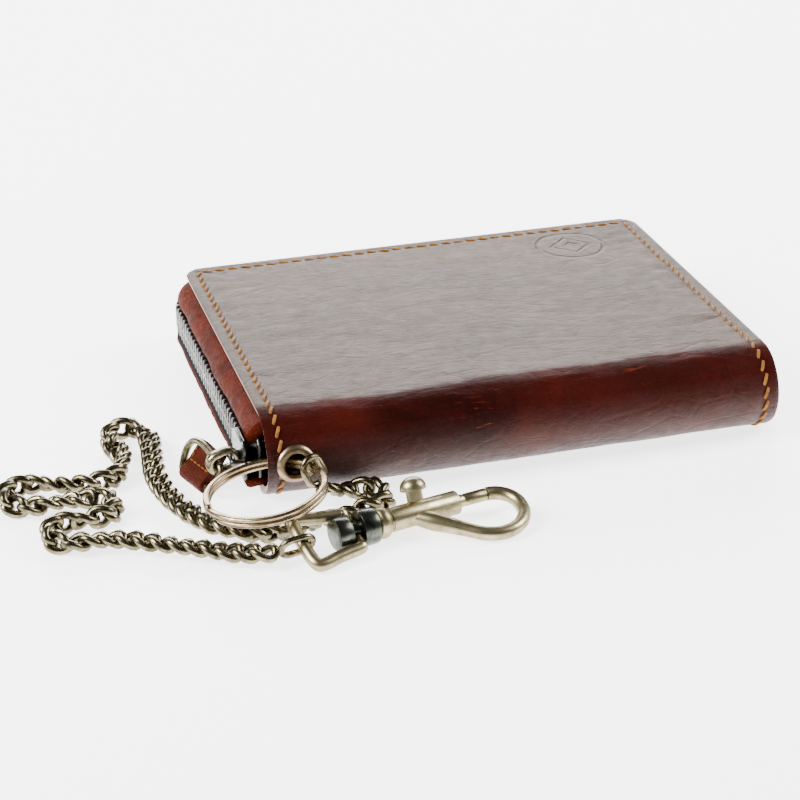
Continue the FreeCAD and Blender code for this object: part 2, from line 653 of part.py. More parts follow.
nodes["hook_body"] = on_hook(fuse([shell, eye.cut(bore)]).cut(slot))

bolt_back = stem_back + 0.4
bolt = Part.makeCylinder(bolt_r, tip - 0.15 - bolt_back, Vector(bolt_back, 0, 0), Vector(1, 0, 0))
nodes["hook_bolt"] = on_hook(bolt)
knob_base = barrel_r + stem_rise
stem = block(stem_back, -stem_thick / 2, 0, stem_front, stem_thick / 2, knob_base + 0.3)
dome_u = (stem_back + stem_front) / 2
dome = Part.makeSphere(knob_r, Vector(dome_u, 0, knob_base))
dome = dome.common(block(dome_u - knob_r, -knob_r, knob_base, dome_u + knob_r, knob_r, knob_base + knob_r))
knob = fuse([stem.cut(bolt), dome])
knob.rotate(Vector(0, 0, 0), Vector(1, 0, 0), -stem_tilt_deg)
nodes["hook_knob"] = on_hook(knob)

spring_start = head_end + 0.1
spring_end = bolt_back - 0.1
spring_pitch = (spring_end - spring_start - spring_wire) / spring_turns
spring_r = chamber_r - spring_wire - 0.15
coil_steps = 12
coil_points = [Vector(spring_start + spring_wire / 2 + spring_pitch * i / coil_steps,
                      spring_r * math.cos(2 * math.pi * i / coil_steps),
                      spring_r * math.sin(2 * math.pi * i / coil_steps))
               for i in range(spring_turns * coil_steps + 1)]
coil = Part.BSplineCurve()
coil.interpolate(coil_points)
coil_edge = coil.toShape()
coil_direction = coil_edge.tangentAt(coil_edge.FirstParameter)
nodes["bolt_spring"] = on_hook(rod(Part.Wire([coil_edge]), spring_wire / 2, coil_points[0],
                                   coil_direction))

hook_x = Vector(math.cos(math.radians(hook_angle_deg)), math.sin(math.radians(hook_angle_deg)), 0)
bail_arm = hook_middle - hook_x * bail_reach
last_reach = end_link_length / 2 - link_wire - bail_wire / 2 - 0.15
across_table = turned(Part.makeLine(Vector(0, 0, 0), across), hook_angle_deg, Vector(0, 0, 0))
bail_across = across_table.Vertexes[1].Point - across_table.Vertexes[0].Point
nodes["chain_end_link_hook"] = placed(end_link, bail_arm - hook_x * last_reach, -hook_x,
                                      hook_x.cross(bail_across))

# ---- the zip's end: two bottom stops on the right ------------------------------------------------
stop_y = spine_y + 0.1
stop_x0 = half_l + tape_in
stop_x1 = stop_x0 + tape_thick + 1.4
stops = [block(stop_x0, stop_y, low, stop_x1, stop_y + stop_wide, low + stop_high)
         for low in (zip_height - stop_high - 0.5, zip_height + 0.5)]
tapes = fuse([nodes["zip_tape_upper"], nodes["zip_tape_lower"]])
nodes["zip_bottom_stops"] = group([stop.cut(tapes) for stop in stops])

os.makedirs("parts", exist_ok=True)
for name, shape in nodes.items():
    shape.exportStep("parts/%s.step" % name)
    size = shape.BoundBox
    print("%-22s solids %3d valid %s volume %9.1f  x %.1f %.1f  y %.1f %.1f  z %.1f %.1f" % (
        name, len(shape.Solids), shape.isValid(), shape.Volume, size.XMin, size.XMax, size.YMin,
        size.YMax, size.ZMin, size.ZMax))
print(len(nodes), "nodes")
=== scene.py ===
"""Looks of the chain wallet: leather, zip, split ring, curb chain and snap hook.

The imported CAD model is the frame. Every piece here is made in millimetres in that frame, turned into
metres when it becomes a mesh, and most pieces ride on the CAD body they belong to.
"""
from __future__ import annotations

import logging
import math
from dataclasses import dataclass, field
from enum import Enum

import bmesh
import bpy
import numpy as np
from mathutils import Matrix, Vector


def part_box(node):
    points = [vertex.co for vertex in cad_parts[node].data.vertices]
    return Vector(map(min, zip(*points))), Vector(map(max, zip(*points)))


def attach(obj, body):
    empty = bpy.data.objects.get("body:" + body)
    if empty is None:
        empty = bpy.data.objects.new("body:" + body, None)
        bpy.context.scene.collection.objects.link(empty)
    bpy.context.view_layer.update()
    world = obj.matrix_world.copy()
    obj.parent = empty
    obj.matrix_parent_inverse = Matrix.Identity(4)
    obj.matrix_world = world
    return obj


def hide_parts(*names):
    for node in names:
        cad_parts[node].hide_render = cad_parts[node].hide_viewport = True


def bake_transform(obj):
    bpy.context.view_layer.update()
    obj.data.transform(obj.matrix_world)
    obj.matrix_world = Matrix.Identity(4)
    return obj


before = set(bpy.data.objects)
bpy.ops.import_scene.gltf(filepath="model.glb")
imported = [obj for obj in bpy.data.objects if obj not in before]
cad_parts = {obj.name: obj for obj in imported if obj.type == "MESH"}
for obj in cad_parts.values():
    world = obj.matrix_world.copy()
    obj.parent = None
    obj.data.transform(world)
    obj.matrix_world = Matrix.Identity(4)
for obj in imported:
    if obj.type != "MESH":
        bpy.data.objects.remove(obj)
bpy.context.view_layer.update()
MM = 0.001
POLE_RADIUS = 0.01
LOG = logging.getLogger("chain_wallet")
Array = np.ndarray


class Body(str, Enum):
    """The CAD bodies that pieces ride on."""

    WALLET = "wallet"
    FRONT = "front_half"
    SLIDER = "zip_slider_body"
    PULL_LINK = "pull_link_body"
    PULL_LOOP = "pull_loop_body"
    PULL_TAB = "pull_tab_body"
    RING = "ring_body"
    SWIVEL = "swivel_body"
    HOOK = "hook"
    BOLT = "bolt"


# ---- sizes ---------------------------------------------------------------------------------
@dataclass(frozen=True)
class CoverSize:
    """The leather case, in millimetres."""

    half_length: float = 60.0
    half_width: float = 48.0
    spine_radius: float = 10.0
    corner: float = 5.0
    thickness: float = 1.7
    hole_x: float = -53.6
    hole_z: float = 10.0
    hole_radius: float = 3.3
    stitch_inset: float = 3.1
    stitch_pitch: float = 3.3
    step: float = 0.7

    @property
    def spine_y(self) -> float:
        """Where the flat covers meet the round spine."""
        return -self.half_width + self.spine_radius

    @property
    def top(self) -> float:
        """Height of the closed wallet."""
        return 2 * self.spine_radius


@dataclass(frozen=True)
class ZipSize:
    """The zip round three sides; out is measured from the cover's edge."""

    height: float = 9.0
    tape_out: float = 3.1
    tooth_inside: float = 2.2
    tooth_outside: float = 3.30
    tooth_wide: float = 1.02
    pitch: float = 2.54
    first: float = 7.5
    last_gap: float = 1.6


@dataclass(frozen=True)
class SliderSize:
    """The zip slider and what hangs on it."""

    y0: float = -42.0
    y1: float = -30.0
    low: float = 4.4
    high: float = 14.0
    plate: float = 0.8
    lip: float = 0.95
    outer: float = -64.2
    inner: float = -59.9
    bail_x: float = -66.35
    bail_y0: float = -41.2
    bail_y1: float = -35.5
    bail_wire: float = 0.42
    link_droop: float = 20.0
    link_length: float = 7.3
    link_width: float = 5.6
    link_thick: float = 2.3
    link_rim: float = 1.5


@dataclass(frozen=True)
class RingSize:
    """The split ring, tilted about Y."""

    middle: tuple[float, float, float] = (-62.4, -56.0, 8.9)
    radius: float = 12.75
    radial: float = 1.5
    coil: float = 1.12
    tilt: float = 7.4


@dataclass(frozen=True)
class ChainSize:
    """Curb links; pitch is the inside length of a link."""

    wire: float = 1.8
    length: float = 7.0
    width: float = 5.5
    pitch: float = 3.75
    twist: float = 48.0
    tube: float = 5.0


@dataclass(frozen=True)
class HookSize:
    """The snap hook, drawn along its own axis from the middle of the swivel's groove."""

    middle: tuple[float, float, float] = (-46.7, -69.6, 4.05)
    angle: float = 13.0
    groove: float = 2.9
    collar: float = 3.2
    big: float = 4.0
    small: float = 3.1
    small_swell: float = 0.45
    core: float = 1.6
    pin: float = 1.2
    bead: float = 3.5
    bead_start: float = 5.15
    barrel: float = 2.65
    barrel_start: float = 8.25
    barrel_end: float = 25.05
    bolt: float = 1.4
    tip: float = 32.45
    eye_wire: float = 3.1
    eye_tip: float = 5.2
    eye: float = 8.0
    bail_wire: float = 2.85
    bail_reach: float = 11.8
    bail_half: float = 6.3
    bail_roll: float = 22.0
    stem_start: float = 13.65
    stem_end: float = 17.35
    stem_thick: float = 1.5
    stem_rise: float = 2.4
    stem_tilt: float = 21.0
    knob: float = 2.9


COVER = CoverSize()
ZIP = ZipSize()
SLIDER = SliderSize()
RING = RingSize()
CHAIN = ChainSize()
HOOK = HookSize()

# The chain's route on the table, from the split ring to the hook, in metres.
LIE = 0.0026
CHAIN_ROUTE = [
    (-0.0478, -0.0504, 0.0044), (-0.0424, -0.0491, LIE), (-0.0374, -0.0488, LIE),
    (-0.0346, -0.0535, LIE), (-0.0375, -0.0583, LIE), (-0.0438, -0.0587, LIE),
    (-0.0502, -0.0601, LIE), (-0.0564, -0.0625, LIE), (-0.0628, -0.0633, LIE),
    (-0.0688, -0.0608, LIE), (-0.0737, -0.0560, LIE), (-0.0772, -0.0500, LIE),
    (-0.0798, -0.0435, LIE), (-0.0813, -0.0370, LIE), (-0.0818, -0.0304, LIE),
    (-0.0814, -0.0238, LIE), (-0.0806, -0.0177, LIE), (-0.0799, -0.0114, LIE),
    (-0.0802, -0.0057, LIE), (-0.0840, -0.0022, LIE), (-0.0882, -0.0045, LIE),
    (-0.0890, -0.0098, LIE), (-0.0874, -0.0156, LIE), (-0.0876, -0.0216, LIE),
    (-0.0900, -0.0270, LIE), (-0.0953, -0.0292, LIE), (-0.1016, -0.0275, LIE),
    (-0.1075, -0.0246, LIE), (-0.1133, -0.0254, LIE), (-0.1162, -0.0302, LIE),
    (-0.1135, -0.0349, LIE), (-0.1075, -0.0355, LIE), (-0.1012, -0.0347, LIE),
    (-0.0952, -0.0360, LIE), (-0.0920, -0.0406, LIE), (-0.0947, -0.0452, LIE),
    (-0.1005, -0.0450, LIE), (-0.1062, -0.0455, LIE), (-0.1091, -0.0502, LIE),
    (-0.1064, -0.0548, LIE), (-0.1004, -0.0545, LIE), (-0.0942, -0.0557, LIE),
    (-0.0885, -0.0588, LIE), (-0.0829, -0.0625, LIE), (-0.0771, -0.0657, LIE),
    (-0.0716, -0.0694, LIE), (-0.0661, -0.0722, 0.0032),
]


# ---- small maths ---------------------------------------------------------------------------
def unit(vector: Array) -> Array:
    """Return the vectors scaled to length one."""
    return vector / np.maximum(np.linalg.norm(vector, axis=-1, keepdims=True), 1e-12)


def smooth(edge0: float, edge1: float, value: Array) -> Array:
    """Return 0 below edge0, 1 above edge1 and a soft step between."""
    t = np.clip((value - edge0) / (edge1 - edge0), 0, 1)
    return t * t * (3 - 2 * t)


def noise(x: Array, y: Array, cell: float, seed: int) -> Array:
    """Smooth random heights from -1 to 1 on a lattice of square cells.

    Args:
        x, y: places, in the same unit as cell.
        cell: lattice spacing.
        seed: picks the random lattice.

    Returns:
        One height for each place.
    """
    lattice = np.random.RandomState(seed).uniform(-1, 1, (97, 97))
    u, v = np.asarray(x) / cell + 40, np.asarray(y) / cell + 40
    i, j = np.floor(u).astype(int), np.floor(v).astype(int)
    fu, fv = u - i, v - j
    fu, fv = fu * fu * (3 - 2 * fu), fv * fv * (3 - 2 * fv)
    i, j = i % 96, j % 96
    near = lattice[i, j] * (1 - fu) + lattice[i + 1, j] * fu
    far = lattice[i, j + 1] * (1 - fu) + lattice[i + 1, j + 1] * fu
    return near * (1 - fv) + far * fv


def ellipse(half_wide: float, half_high: float, count: int = 12, power: float = 2.0) -> Array:
    """Return a closed section; a power above 2 makes it squarer.

    Args:
        half_wide: half width.
        half_high: half height.
        count: number of points.
        power: above 2 makes it squarer.

    Returns:
        The points, in order round it.
    """
    a = np.linspace(0, 2 * math.pi, count, endpoint=False)
    c, s = np.cos(a), np.sin(a)
    shrink = (np.abs(c) ** power + np.abs(s) ** power) ** (-1 / power)
    return np.stack([half_wide * c * shrink, half_high * s * shrink], axis=1)


def smooth_closed(points: Array, per_side: int = 8) -> Array:
    """Return a closed quadratic B-spline with those control points.

    Args:
        points: the control points.
        per_side: points made for each of them.

    Returns:
        The curve's points, without a repeated end.
    """
    t = np.linspace(0, 1, per_side, endpoint=False)[:, None]
    rows = []
    for i in range(len(points)):
        a, b, c = points[i - 1], points[i], points[(i + 1) % len(points)]
        start, end = (a + b) / 2, (b + c) / 2
        rows.append(start * (1 - t) ** 2 + b * 2 * t * (1 - t) + end * t ** 2)
    return np.concatenate(rows)


def smooth_open(points: Array, per_side: int = 8) -> Array:
    """Return an open quadratic B-spline that starts and ends at the end points.

    Args:
        points: the control points, at least three.
        per_side: points made for each inner one.

    Returns:
        The curve's points.
    """
    t = np.linspace(0, 1, per_side, endpoint=False)[:, None]
    rows = []
    last = len(points) - 2
    for i in range(1, len(points) - 1):
        start = points[0] if i == 1 else (points[i - 1] + points[i]) / 2
        end = points[-1] if i == last else (points[i] + points[i + 1]) / 2
        rows.append(start * (1 - t) ** 2 + points[i] * 2 * t * (1 - t) + end * t ** 2)
    return np.concatenate(rows + [points[-1:]])


def resample(line: Array, step: float, start: float = 0.0, end: float = 0.0) -> tuple[Array, Array]:
    """Return points about every step along a polyline, and the directions there.

    Args:
        line: the polyline's points.
        step: the wanted spacing; it is stretched a little to fit a whole number of steps.
        start: length left free at the start.
        end: length left free at the end.

    Returns:
        The points and the unit directions there.
    """
    length = np.concatenate([[0], np.cumsum(np.linalg.norm(np.diff(line, axis=0), axis=1))])
    run = length[-1] - start - end
    at = np.linspace(start, start + run, int(round(run / step)) + 1)
    points = np.stack([np.interp(at, length, line[:, k]) for k in range(3)], axis=1)
    ahead = np.stack([np.interp(at + 0.6, length, line[:, k]) for k in range(3)], axis=1)
    behind = np.stack([np.interp(at - 0.6, length, line[:, k]) for k in range(3)], axis=1)
    return points, unit(ahead - behind)


# ---- mesh building ---------------------------------------------------------------------------
class Shape:
    """Vertices and faces in millimetres, gathered before they become one Blender mesh."""

    def __init__(self) -> None:
        self.points: list[Array] = []
        self.faces: list[tuple[int, ...]] = []
        self.count = 0

    def grid(self, grid: Array, close_rows: bool = False, close_columns: bool = False,
             caps: bool = False, flip: bool = False, skip: Array | None = None) -> Shape:
        """Add a sheet of quads.

        Args:
            grid: points by row and column.
            close_rows: join the last row to the first.
            close_columns: join the last column to the first.
            caps: close the first and last rows with one face each.
            flip: turn the faces over.
            skip: True for each face to leave out, by row and column.

        Returns:
            The shape itself.
        """
        rows, columns = grid.shape[:2]
        index = np.arange(rows * columns).reshape(rows, columns) + self.count
        i = np.arange(rows if close_rows else rows - 1)
        j = np.arange(columns if close_columns else columns - 1)
        i, j = np.meshgrid(i, j, indexing="ij")
        a, b = index[i, j], index[(i + 1) % rows, j]
        c, d = index[(i + 1) % rows, (j + 1) % columns], index[i, (j + 1) % columns]
        quads = np.stack([a, d, c, b] if flip else [a, b, c, d], axis=-1)
        if skip is not None:
            quads = quads[~skip]
        self.faces += [tuple(q) for q in quads.reshape(-1, 4).tolist()]
        if caps:
            first, last = index[0].tolist(), index[-1].tolist()
            self.faces += [tuple(first), tuple(reversed(last))]
        self.points.append(grid.reshape(-1, 3))
        self.count += rows * columns
        return self

    def sweep(self, path: Array, normal: Array, section: Array, closed: bool = False,
              scale: Array | None = None) -> Shape:
        """Carry a closed section along a flat path whose plane has that normal.

        Args:
            path: the path's points.
            normal: the normal of the path's plane.
            section: the closed section, as (side, normal) points.
            closed: join the last point of the path to the first.
            scale: the section's size at each point of the path.

        Returns:
            The shape itself.
        """
        ahead = np.roll(path, -1, axis=0) - np.roll(path, 1, axis=0)
        if not closed:
            ahead[0], ahead[-1] = path[1] - path[0], path[-1] - path[-2]
        ahead = unit(ahead)
        normal = np.broadcast_to(unit(np.asarray(normal, float)), path.shape)
        side = unit(np.cross(ahead, normal))
        size = np.ones(len(path)) if scale is None else scale
        grid = (path[:, None] + side[:, None] * section[None, :, :1] * size[:, None, None]
                + normal[:, None] * section[None, :, 1:] * size[:, None, None])
        return self.grid(grid, close_rows=closed, close_columns=True, caps=not closed)

    def lathe(self, outline: list[tuple[float, float]], place: Matrix | None = None,
              sides: int = 40) -> Shape:
        """Turn (along, radius) points about X; the outline's ends are closed.

        Args:
            outline: the (along, radius) points.
            place: where it goes.
            sides: number of points round the axis.

        Returns:
            The shape itself.
        """
        return self.grid(moved(turned(outline, sides), place), close_columns=True, caps=True)

    def slab(self, top: Array, bottom: Array) -> Shape:
        """Join an upper and a lower sheet of the same grid all the way round.

        Args:
            top: the upper sheet, by row and column.
            bottom: the lower sheet.

        Returns:
            The shape itself.
        """
        outer = np.concatenate([top, bottom[::-1]])
        rows, columns = outer.shape[:2]
        first = self.count
        self.grid(outer, close_rows=True)
        for column in (0, columns - 1):
            ring = [first + row * columns + column for row in range(rows)]
            for k in range(rows // 2 - 1):
                self.faces.append((ring[k], ring[k + 1], ring[rows - 2 - k], ring[rows - 1 - k]))
        return self

    def plate(self, outline: Array, depth: float, place: Matrix | None = None) -> Shape:
        """Extrude a closed (x, y) outline along +Z.

        Args:
            outline: the closed outline.
            depth: how far it is extruded.
            place: where it goes.

        Returns:
            The shape itself.
        """
        low = np.concatenate([outline, np.zeros((len(outline), 1))], axis=1)
        grid = np.stack([low, low + np.array([0, 0, depth])])
        return self.grid(moved(grid, place), close_columns=True, caps=True)

    def build(self, name: str, *materials: bpy.types.Material, sharp: float | None = None,
              closed: bool = True) -> bpy.types.Object:
        """Make the Blender object, in metres.

        Args:
            name: the object's name.
            materials: its material slots.
            sharp: angle in degrees above which edges stay sharp; None smooths them all.
            closed: the faces are turned outward when this is True.

        Returns:
            The new object.
        """
        mesh = bpy.data.meshes.new(name)
        mesh.from_pydata((np.concatenate(self.points) * MM).tolist(), [], self.faces)
        if closed:
            work = bmesh.new()
            work.from_mesh(mesh)
            bmesh.ops.recalc_face_normals(work, faces=work.faces)
            work.to_mesh(mesh)
            work.free()
        mesh.polygons.foreach_set("use_smooth", np.ones(len(mesh.polygons), bool))
        if sharp is not None:
            mesh.set_sharp_from_angle(angle=math.radians(sharp))
        for material in materials:
            mesh.materials.append(material)
        mesh.update()
        obj = bpy.data.objects.new(name, mesh)
        bpy.context.scene.collection.objects.link(obj)
        return obj


def moved(grid: Array, place: Matrix | None) -> Array:
    """Return the points carried by a 4x4 placement.

    Args:
        grid: points, with the axes last.
        place: the placement, or None to leave them.

    Returns:
        The points in their place.
    """
    if place is None:
        return grid
    turn = np.array(place.to_3x3())
    return grid @ turn.T + np.array(place.translation)


def turned(outline: list[tuple[float, float]], sides: int) -> Array:
    """Turn (along, radius) points about X.

    Args:
        outline: the profile's points.
        sides: number of points round the axis.

    Returns:
        The grid, by profile point and side.
    """
    a = np.linspace(0, 2 * math.pi, sides, endpoint=False)
    along, radius = np.array(outline, float).T
    radius = np.maximum(radius, POLE_RADIUS)
    return np.stack([np.repeat(along[:, None], sides, 1), radius[:, None] * np.cos(a),
                     radius[:, None] * np.sin(a)], axis=-1)


def placement(origin: Array, x_axis: Array, z_axis: Array) -> Matrix:
    """A placement with its origin, X and (nearly) Z axes given.

    Args:
        origin: where it is.
        x_axis: its X direction.
        z_axis: its Z direction, made square to X.

    Returns:
        The 4x4 placement.
    """
    x = unit(np.asarray(x_axis, float))
    y = unit(np.cross(z_axis, x))
    z = np.cross(x, y)
    matrix = Matrix.Identity(4)
    for k in range(3):
        matrix[k][0], matrix[k][1], matrix[k][2], matrix[k][3] = x[k], y[k], z[k], origin[k]
    return matrix


def bevel(obj: bpy.types.Object, width: float, segments: int = 2, angle: float = 35.0) -> None:
    """Round an object's sharp edges.

    Args:
        obj: the object.
        width: width in millimetres.
        segments: faces across the rounding.
        angle: angle in degrees above which an edge is sharp.
    """
    modifier = obj.modifiers.new("edge", "BEVEL")
    modifier.width = width * MM
    modifier.segments = segments
    modifier.limit_method = "ANGLE"
    modifier.angle_limit = math.radians(angle)


def settle(piece: bpy.types.Object, body: Body, slot: str, *nodes: str) -> None:
    """Make a piece ride on a body and stand for CAD nodes, which are hidden.

    Args:
        piece: the finished piece.
        body: the body that it moves with.
        slot: not used.
        nodes: the CAD nodes that it replaces, if any.
    """
    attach(piece, body.value)
    if nodes:
        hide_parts(*nodes)


def repaint(node: bpy.types.Object, material: bpy.types.Material) -> None:
    """Give a CAD node another material."""
    if not node.material_slots:
        node.data.materials.append(material)
    for place in node.material_slots:
        place.material = material


# ---- finishes --------------------------------------------------------------------------------
class Paint:
    """Builds one node material."""

    def __init__(self, name: str) -> None:
        self.material = bpy.data.materials.new(name)
        self.material.use_nodes = True
        self.tree = self.material.node_tree
        self.shader = self.tree.nodes["Principled BSDF"]
        self.place = self.add("ShaderNodeTexCoord").outputs["Object"]

    def add(self, kind: str, **settings: object) -> bpy.types.Node:
        """Add a node and set its own properties.

        Args:
            kind: the node's type.
            settings: its own properties.

        Returns:
            The node.
        """
        node = self.tree.nodes.new(kind)
        for key, value in settings.items():
            setattr(node, key, value)
        return node

    def join(self, source: object, target: bpy.types.NodeSocket) -> None:
        """Link a socket, or set a constant."""
        if isinstance(source, bpy.types.NodeSocket):
            self.tree.links.new(source, target)
        else:
            target.default_value = source

    def stretched(self, x: float, y: float, z: float) -> bpy.types.NodeSocket:
        """The object's coordinates, scaled on each axis.

        Args:
            x: scale on X.
            y: scale on Y.
            z: scale on Z.

        Returns:
            The scaled coordinates.
        """
        node = self.add("ShaderNodeMapping")
        self.join(self.place, node.inputs["Vector"])
        node.inputs["Scale"].default_value = (x, y, z)
        return node.outputs["Vector"]

    def noise(self, scale: float, detail: float = 3.0, rough: float = 0.55, warp: float = 0.0,
              place: bpy.types.NodeSocket | None = None) -> bpy.types.NodeSocket:
        """A noise height.

        Args:
            scale: cycles for each metre.
            detail: number of finer layers.
            rough: strength of the finer layers.
            warp: distortion.
            place: coordinates in place of the object's own.

        Returns:
            The height, from 0 to 1.
        """
        node = self.add("ShaderNodeTexNoise")
        self.join(place or self.place, node.inputs["Vector"])
        node.inputs["Scale"].default_value = scale
        node.inputs["Detail"].default_value = detail
        node.inputs["Roughness"].default_value = rough
        node.inputs["Distortion"].default_value = warp
        return node.outputs["Fac"]

    def cells(self, scale: float, edges: bool = False,
              place: bpy.types.NodeSocket | None = None) -> bpy.types.NodeSocket:
        """Distance in a field of cells, to a cell's centre or to its edge.

        Args:
            scale: cells for each metre.
            edges: measure to a cell's edge, not to its centre.
            place: coordinates in place of the object's own.

        Returns:
            The distance.
        """
        node = self.add("ShaderNodeTexVoronoi", feature="DISTANCE_TO_EDGE" if edges else "F1")
        self.join(place or self.place, node.inputs["Vector"])
        node.inputs["Scale"].default_value = scale
        return node.outputs["Distance"]

    def ramp(self, value: object, *stops: tuple[float, tuple[float, float, float]]) -> object:
        """Colours by value.

        Args:
            value: what picks the colour.
            stops: (position, colour) of each stop.

        Returns:
            The colour.
        """
        node = self.add("ShaderNodeValToRGB")
        self.join(value, node.inputs["Fac"])
        elements = node.color_ramp.elements
        while len(elements) < len(stops):
            elements.new(0.5)
        for element, (at, colour) in zip(elements, stops):
            element.position = at
            element.color = (*colour, 1.0)
        return node.outputs["Color"]

    def scaled(self, value: object, low: float, high: float, to_low: float, to_high: float) -> object:
        """Map one range to another, clamped.

        Args:
            value: the value to map.
            low: start of its range.
            high: end of its range.
            to_low: start of the new range.
            to_high: end of the new range.

        Returns:
            The mapped value.
        """
        node = self.add("ShaderNodeMapRange")
        self.join(value, node.inputs["Value"])
        for key, number in (("From Min", low), ("From Max", high), ("To Min", to_low),
                            ("To Max", to_high)):
            node.inputs[key].default_value = number
        return node.outputs["Result"]

    def math(self, kind: str, a: object, b: object = 0.0) -> object:
        """One arithmetic step.

        Args:
            kind: the operation.
            a: first value.
            b: second value.

        Returns:
            The result.
        """
        node = self.add("ShaderNodeMath", operation=kind)
        self.join(a, node.inputs[0])
        self.join(b, node.inputs[1])
        return node.outputs[0]

    def mix(self, amount: object, a: object, b: object, kind: str = "MIX") -> object:
        """Blend two colours.

        Args:
            amount: 0 gives a, 1 gives b.
            a: first colour.
            b: second colour.
            kind: how they blend.

        Returns:
            The blended colour.
        """
        node = self.add("ShaderNodeMix", data_type="RGBA", blend_type=kind)
        self.join(amount, node.inputs[0])
        for source, socket in ((a, node.inputs[6]), (b, node.inputs[7])):
            self.join((*source, 1.0) if isinstance(source, tuple) else source, socket)
        return node.outputs[2]

    def axis(self, name: str) -> object:
        """One of the object's coordinates, X, Y or Z, in metres.

        Args:
            name: X, Y or Z.

        Returns:
            The coordinate.
        """
        node = self.add("ShaderNodeSeparateXYZ")
        self.join(self.place, node.inputs[0])
        return node.outputs[name]

    def bump(self, height: object, strength: float, distance: float, under: object = None) -> object:
        """Turn a height into a normal, on top of another one.

        Args:
            height: the height.
            strength: how much of it counts.
            distance: depth in metres.
            under: a normal that it lies on.

        Returns:
            The normal.
        """
        node = self.add("ShaderNodeBump")
        self.join(height, node.inputs["Height"])
        node.inputs["Strength"].default_value = strength
        node.inputs["Distance"].default_value = distance
        if under is not None:
            self.join(under, node.inputs["Normal"])
        return node.outputs["Normal"]

    def finish(self, colour: object, roughness: object, normal: object = None,
               **numbers: float) -> bpy.types.Material:
        """Set the shader's sockets and return the material.

        Args:
            colour: base colour, constant or linked.
            roughness: constant or linked.
            normal: linked normal, if any.
            numbers: constants for the shader's other sockets.

        Returns:
            The material.
        """
        inputs = self.shader.inputs
        self.join((*colour, 1.0) if isinstance(colour, tuple) else colour, inputs["Base Color"])
        self.join(roughness, inputs["Roughness"])
        if normal is not None:
            self.join(normal, inputs["Normal"])
        for key, number in numbers.items():
            inputs[key.replace("_", " ")].default_value = number
        return self.material

    def tint(self, colour: tuple[float, float, float]) -> None:
        """Colour the shader's own reflection."""
        self.shader.inputs["Specular Tint"].default_value = (*colour, 1.0)


@dataclass(frozen=True)
class CoverLeather:
    """Pull-up leather of the case: oxblood, with the flat top painted a lighter taupe brown as painted
    sheen on top of its real sheen.
    """

    dark: tuple[float, float, float] = (0.009, 0.0008, 0.0006)
    warm: tuple[float, float, float] = (0.046, 0.0052, 0.0030)
    # flat and flat_dark are painted sheen: the top face is painted a lighter, greyer brown than the spine.
    flat: tuple[float, float, float] = (0.074, 0.044, 0.026)
    flat_dark: tuple[float, float, float] = (0.032, 0.018, 0.011)
    rust: tuple[float, float, float] = (0.22, 0.036, 0.012)
    gloss: tuple[float, float, float] = (1.0, 0.80, 0.72)

    def material(self) -> bpy.types.Material:
        """Return the finished material."""
        p = Paint("cover_leather")
        wide = p.noise(38, 4, 0.6, 0.6)
        body = p.ramp(wide, (0.30, self.dark), (0.72, self.warm))
        # Painted sheen: the flat top gets a lighter taupe brown than the oxblood spine, blended in by
        # on_top.
        cloudy = p.noise(26, 5, 0.6, 1.2, p.stretched(0.6, 1.4, 1))
        flat = p.ramp(cloudy, (0.30, self.flat_dark), (0.70, self.flat))
        y = p.axis("Y")
        wobble = p.math("MULTIPLY", p.math("SUBTRACT", p.noise(45, 3), 0.5), 0.006)
        on_top = p.scaled(p.math("ADD", y, wobble), -0.0385, -0.0360, 0, 1)
        colour = p.mix(on_top, body, flat)
        scratch_place = p.stretched(0.35, 3.2, 3.2)
        scuff = p.scaled(p.noise(150, 6, 0.7, 2.0, scratch_place), 0.63, 0.72, 0, 0.55)
        colour = p.mix(p.math("MULTIPLY", scuff, p.math("SUBTRACT", 1.0, on_top)), colour, self.rust)
        pores = p.cells(2100, True)
        colour = p.mix(p.scaled(pores, 0.0, 0.09, 0.30, 0.0), colour, (0.012, 0.006, 0.005))
        pebble = p.bump(p.scaled(pores, 0.0, 0.22, 0, 1), 0.45, 0.00012)
        lines = p.noise(260, 7, 0.62, 1.8, p.stretched(0.8, 2.2, 1.0))
        folds = p.bump(lines, 0.55, 0.0007, pebble)
        creases = p.scaled(p.cells(95, True, p.stretched(0.7, 2.2, 1.0)), 0.0, 0.05, 0, 1)
        normal = p.bump(creases, 0.22, 0.0004, folds)
        normal = self._motif(p, normal)
        rough = p.scaled(p.noise(320, 4), 0.3, 0.7, 0.33, 0.50)
        p.tint(self.gloss)
        low = p.scaled(p.axis("Z"), 0.003, 0.0160, 0.50, 0.02)
        shine = p.math("ADD", p.math("MULTIPLY", on_top, 0.20),
                       p.math("MULTIPLY", p.math("SUBTRACT", 1.0, on_top), low))
        p.join(shine, p.shader.inputs["Specular IOR Level"])
        return p.finish(colour, rough, normal, IOR=1.45)

    def _motif(self, p: Paint, normal: object) -> object:
        """Press a plain ring and diamond into the far right of the cover.

        Args:
            p: the material being painted.
            normal: the normal that it lies on.

        Returns:
            The normal with the mark.
        """
        x = p.math("SUBTRACT", p.axis("X"), 0.038)
        y = p.math("SUBTRACT", p.axis("Y"), 0.033)
        away = p.math("SQRT", p.math("ADD", p.math("MULTIPLY", x, x), p.math("MULTIPLY", y, y)))
        ring = p.math("ABSOLUTE", p.math("SUBTRACT", away, 0.0085))
        square = p.math("ADD", p.math("ABSOLUTE", x), p.math("ABSOLUTE", y))
        diamond = p.math("ABSOLUTE", p.math("SUBTRACT", square, 0.0052))
        line = p.math("MINIMUM", ring, diamond)
        line = p.math("MINIMUM", line, p.math("SUBTRACT", square, 0.0018))
        top = p.scaled(p.axis("Z"), 0.0185, 0.0192, 0, 1)
        depth = p.math("MULTIPLY", p.scaled(line, 0.00025, 0.00085, 1, 0), top)
        return p.bump(p.math("SUBTRACT", 1.0, depth), 0.8, 0.0005, normal)


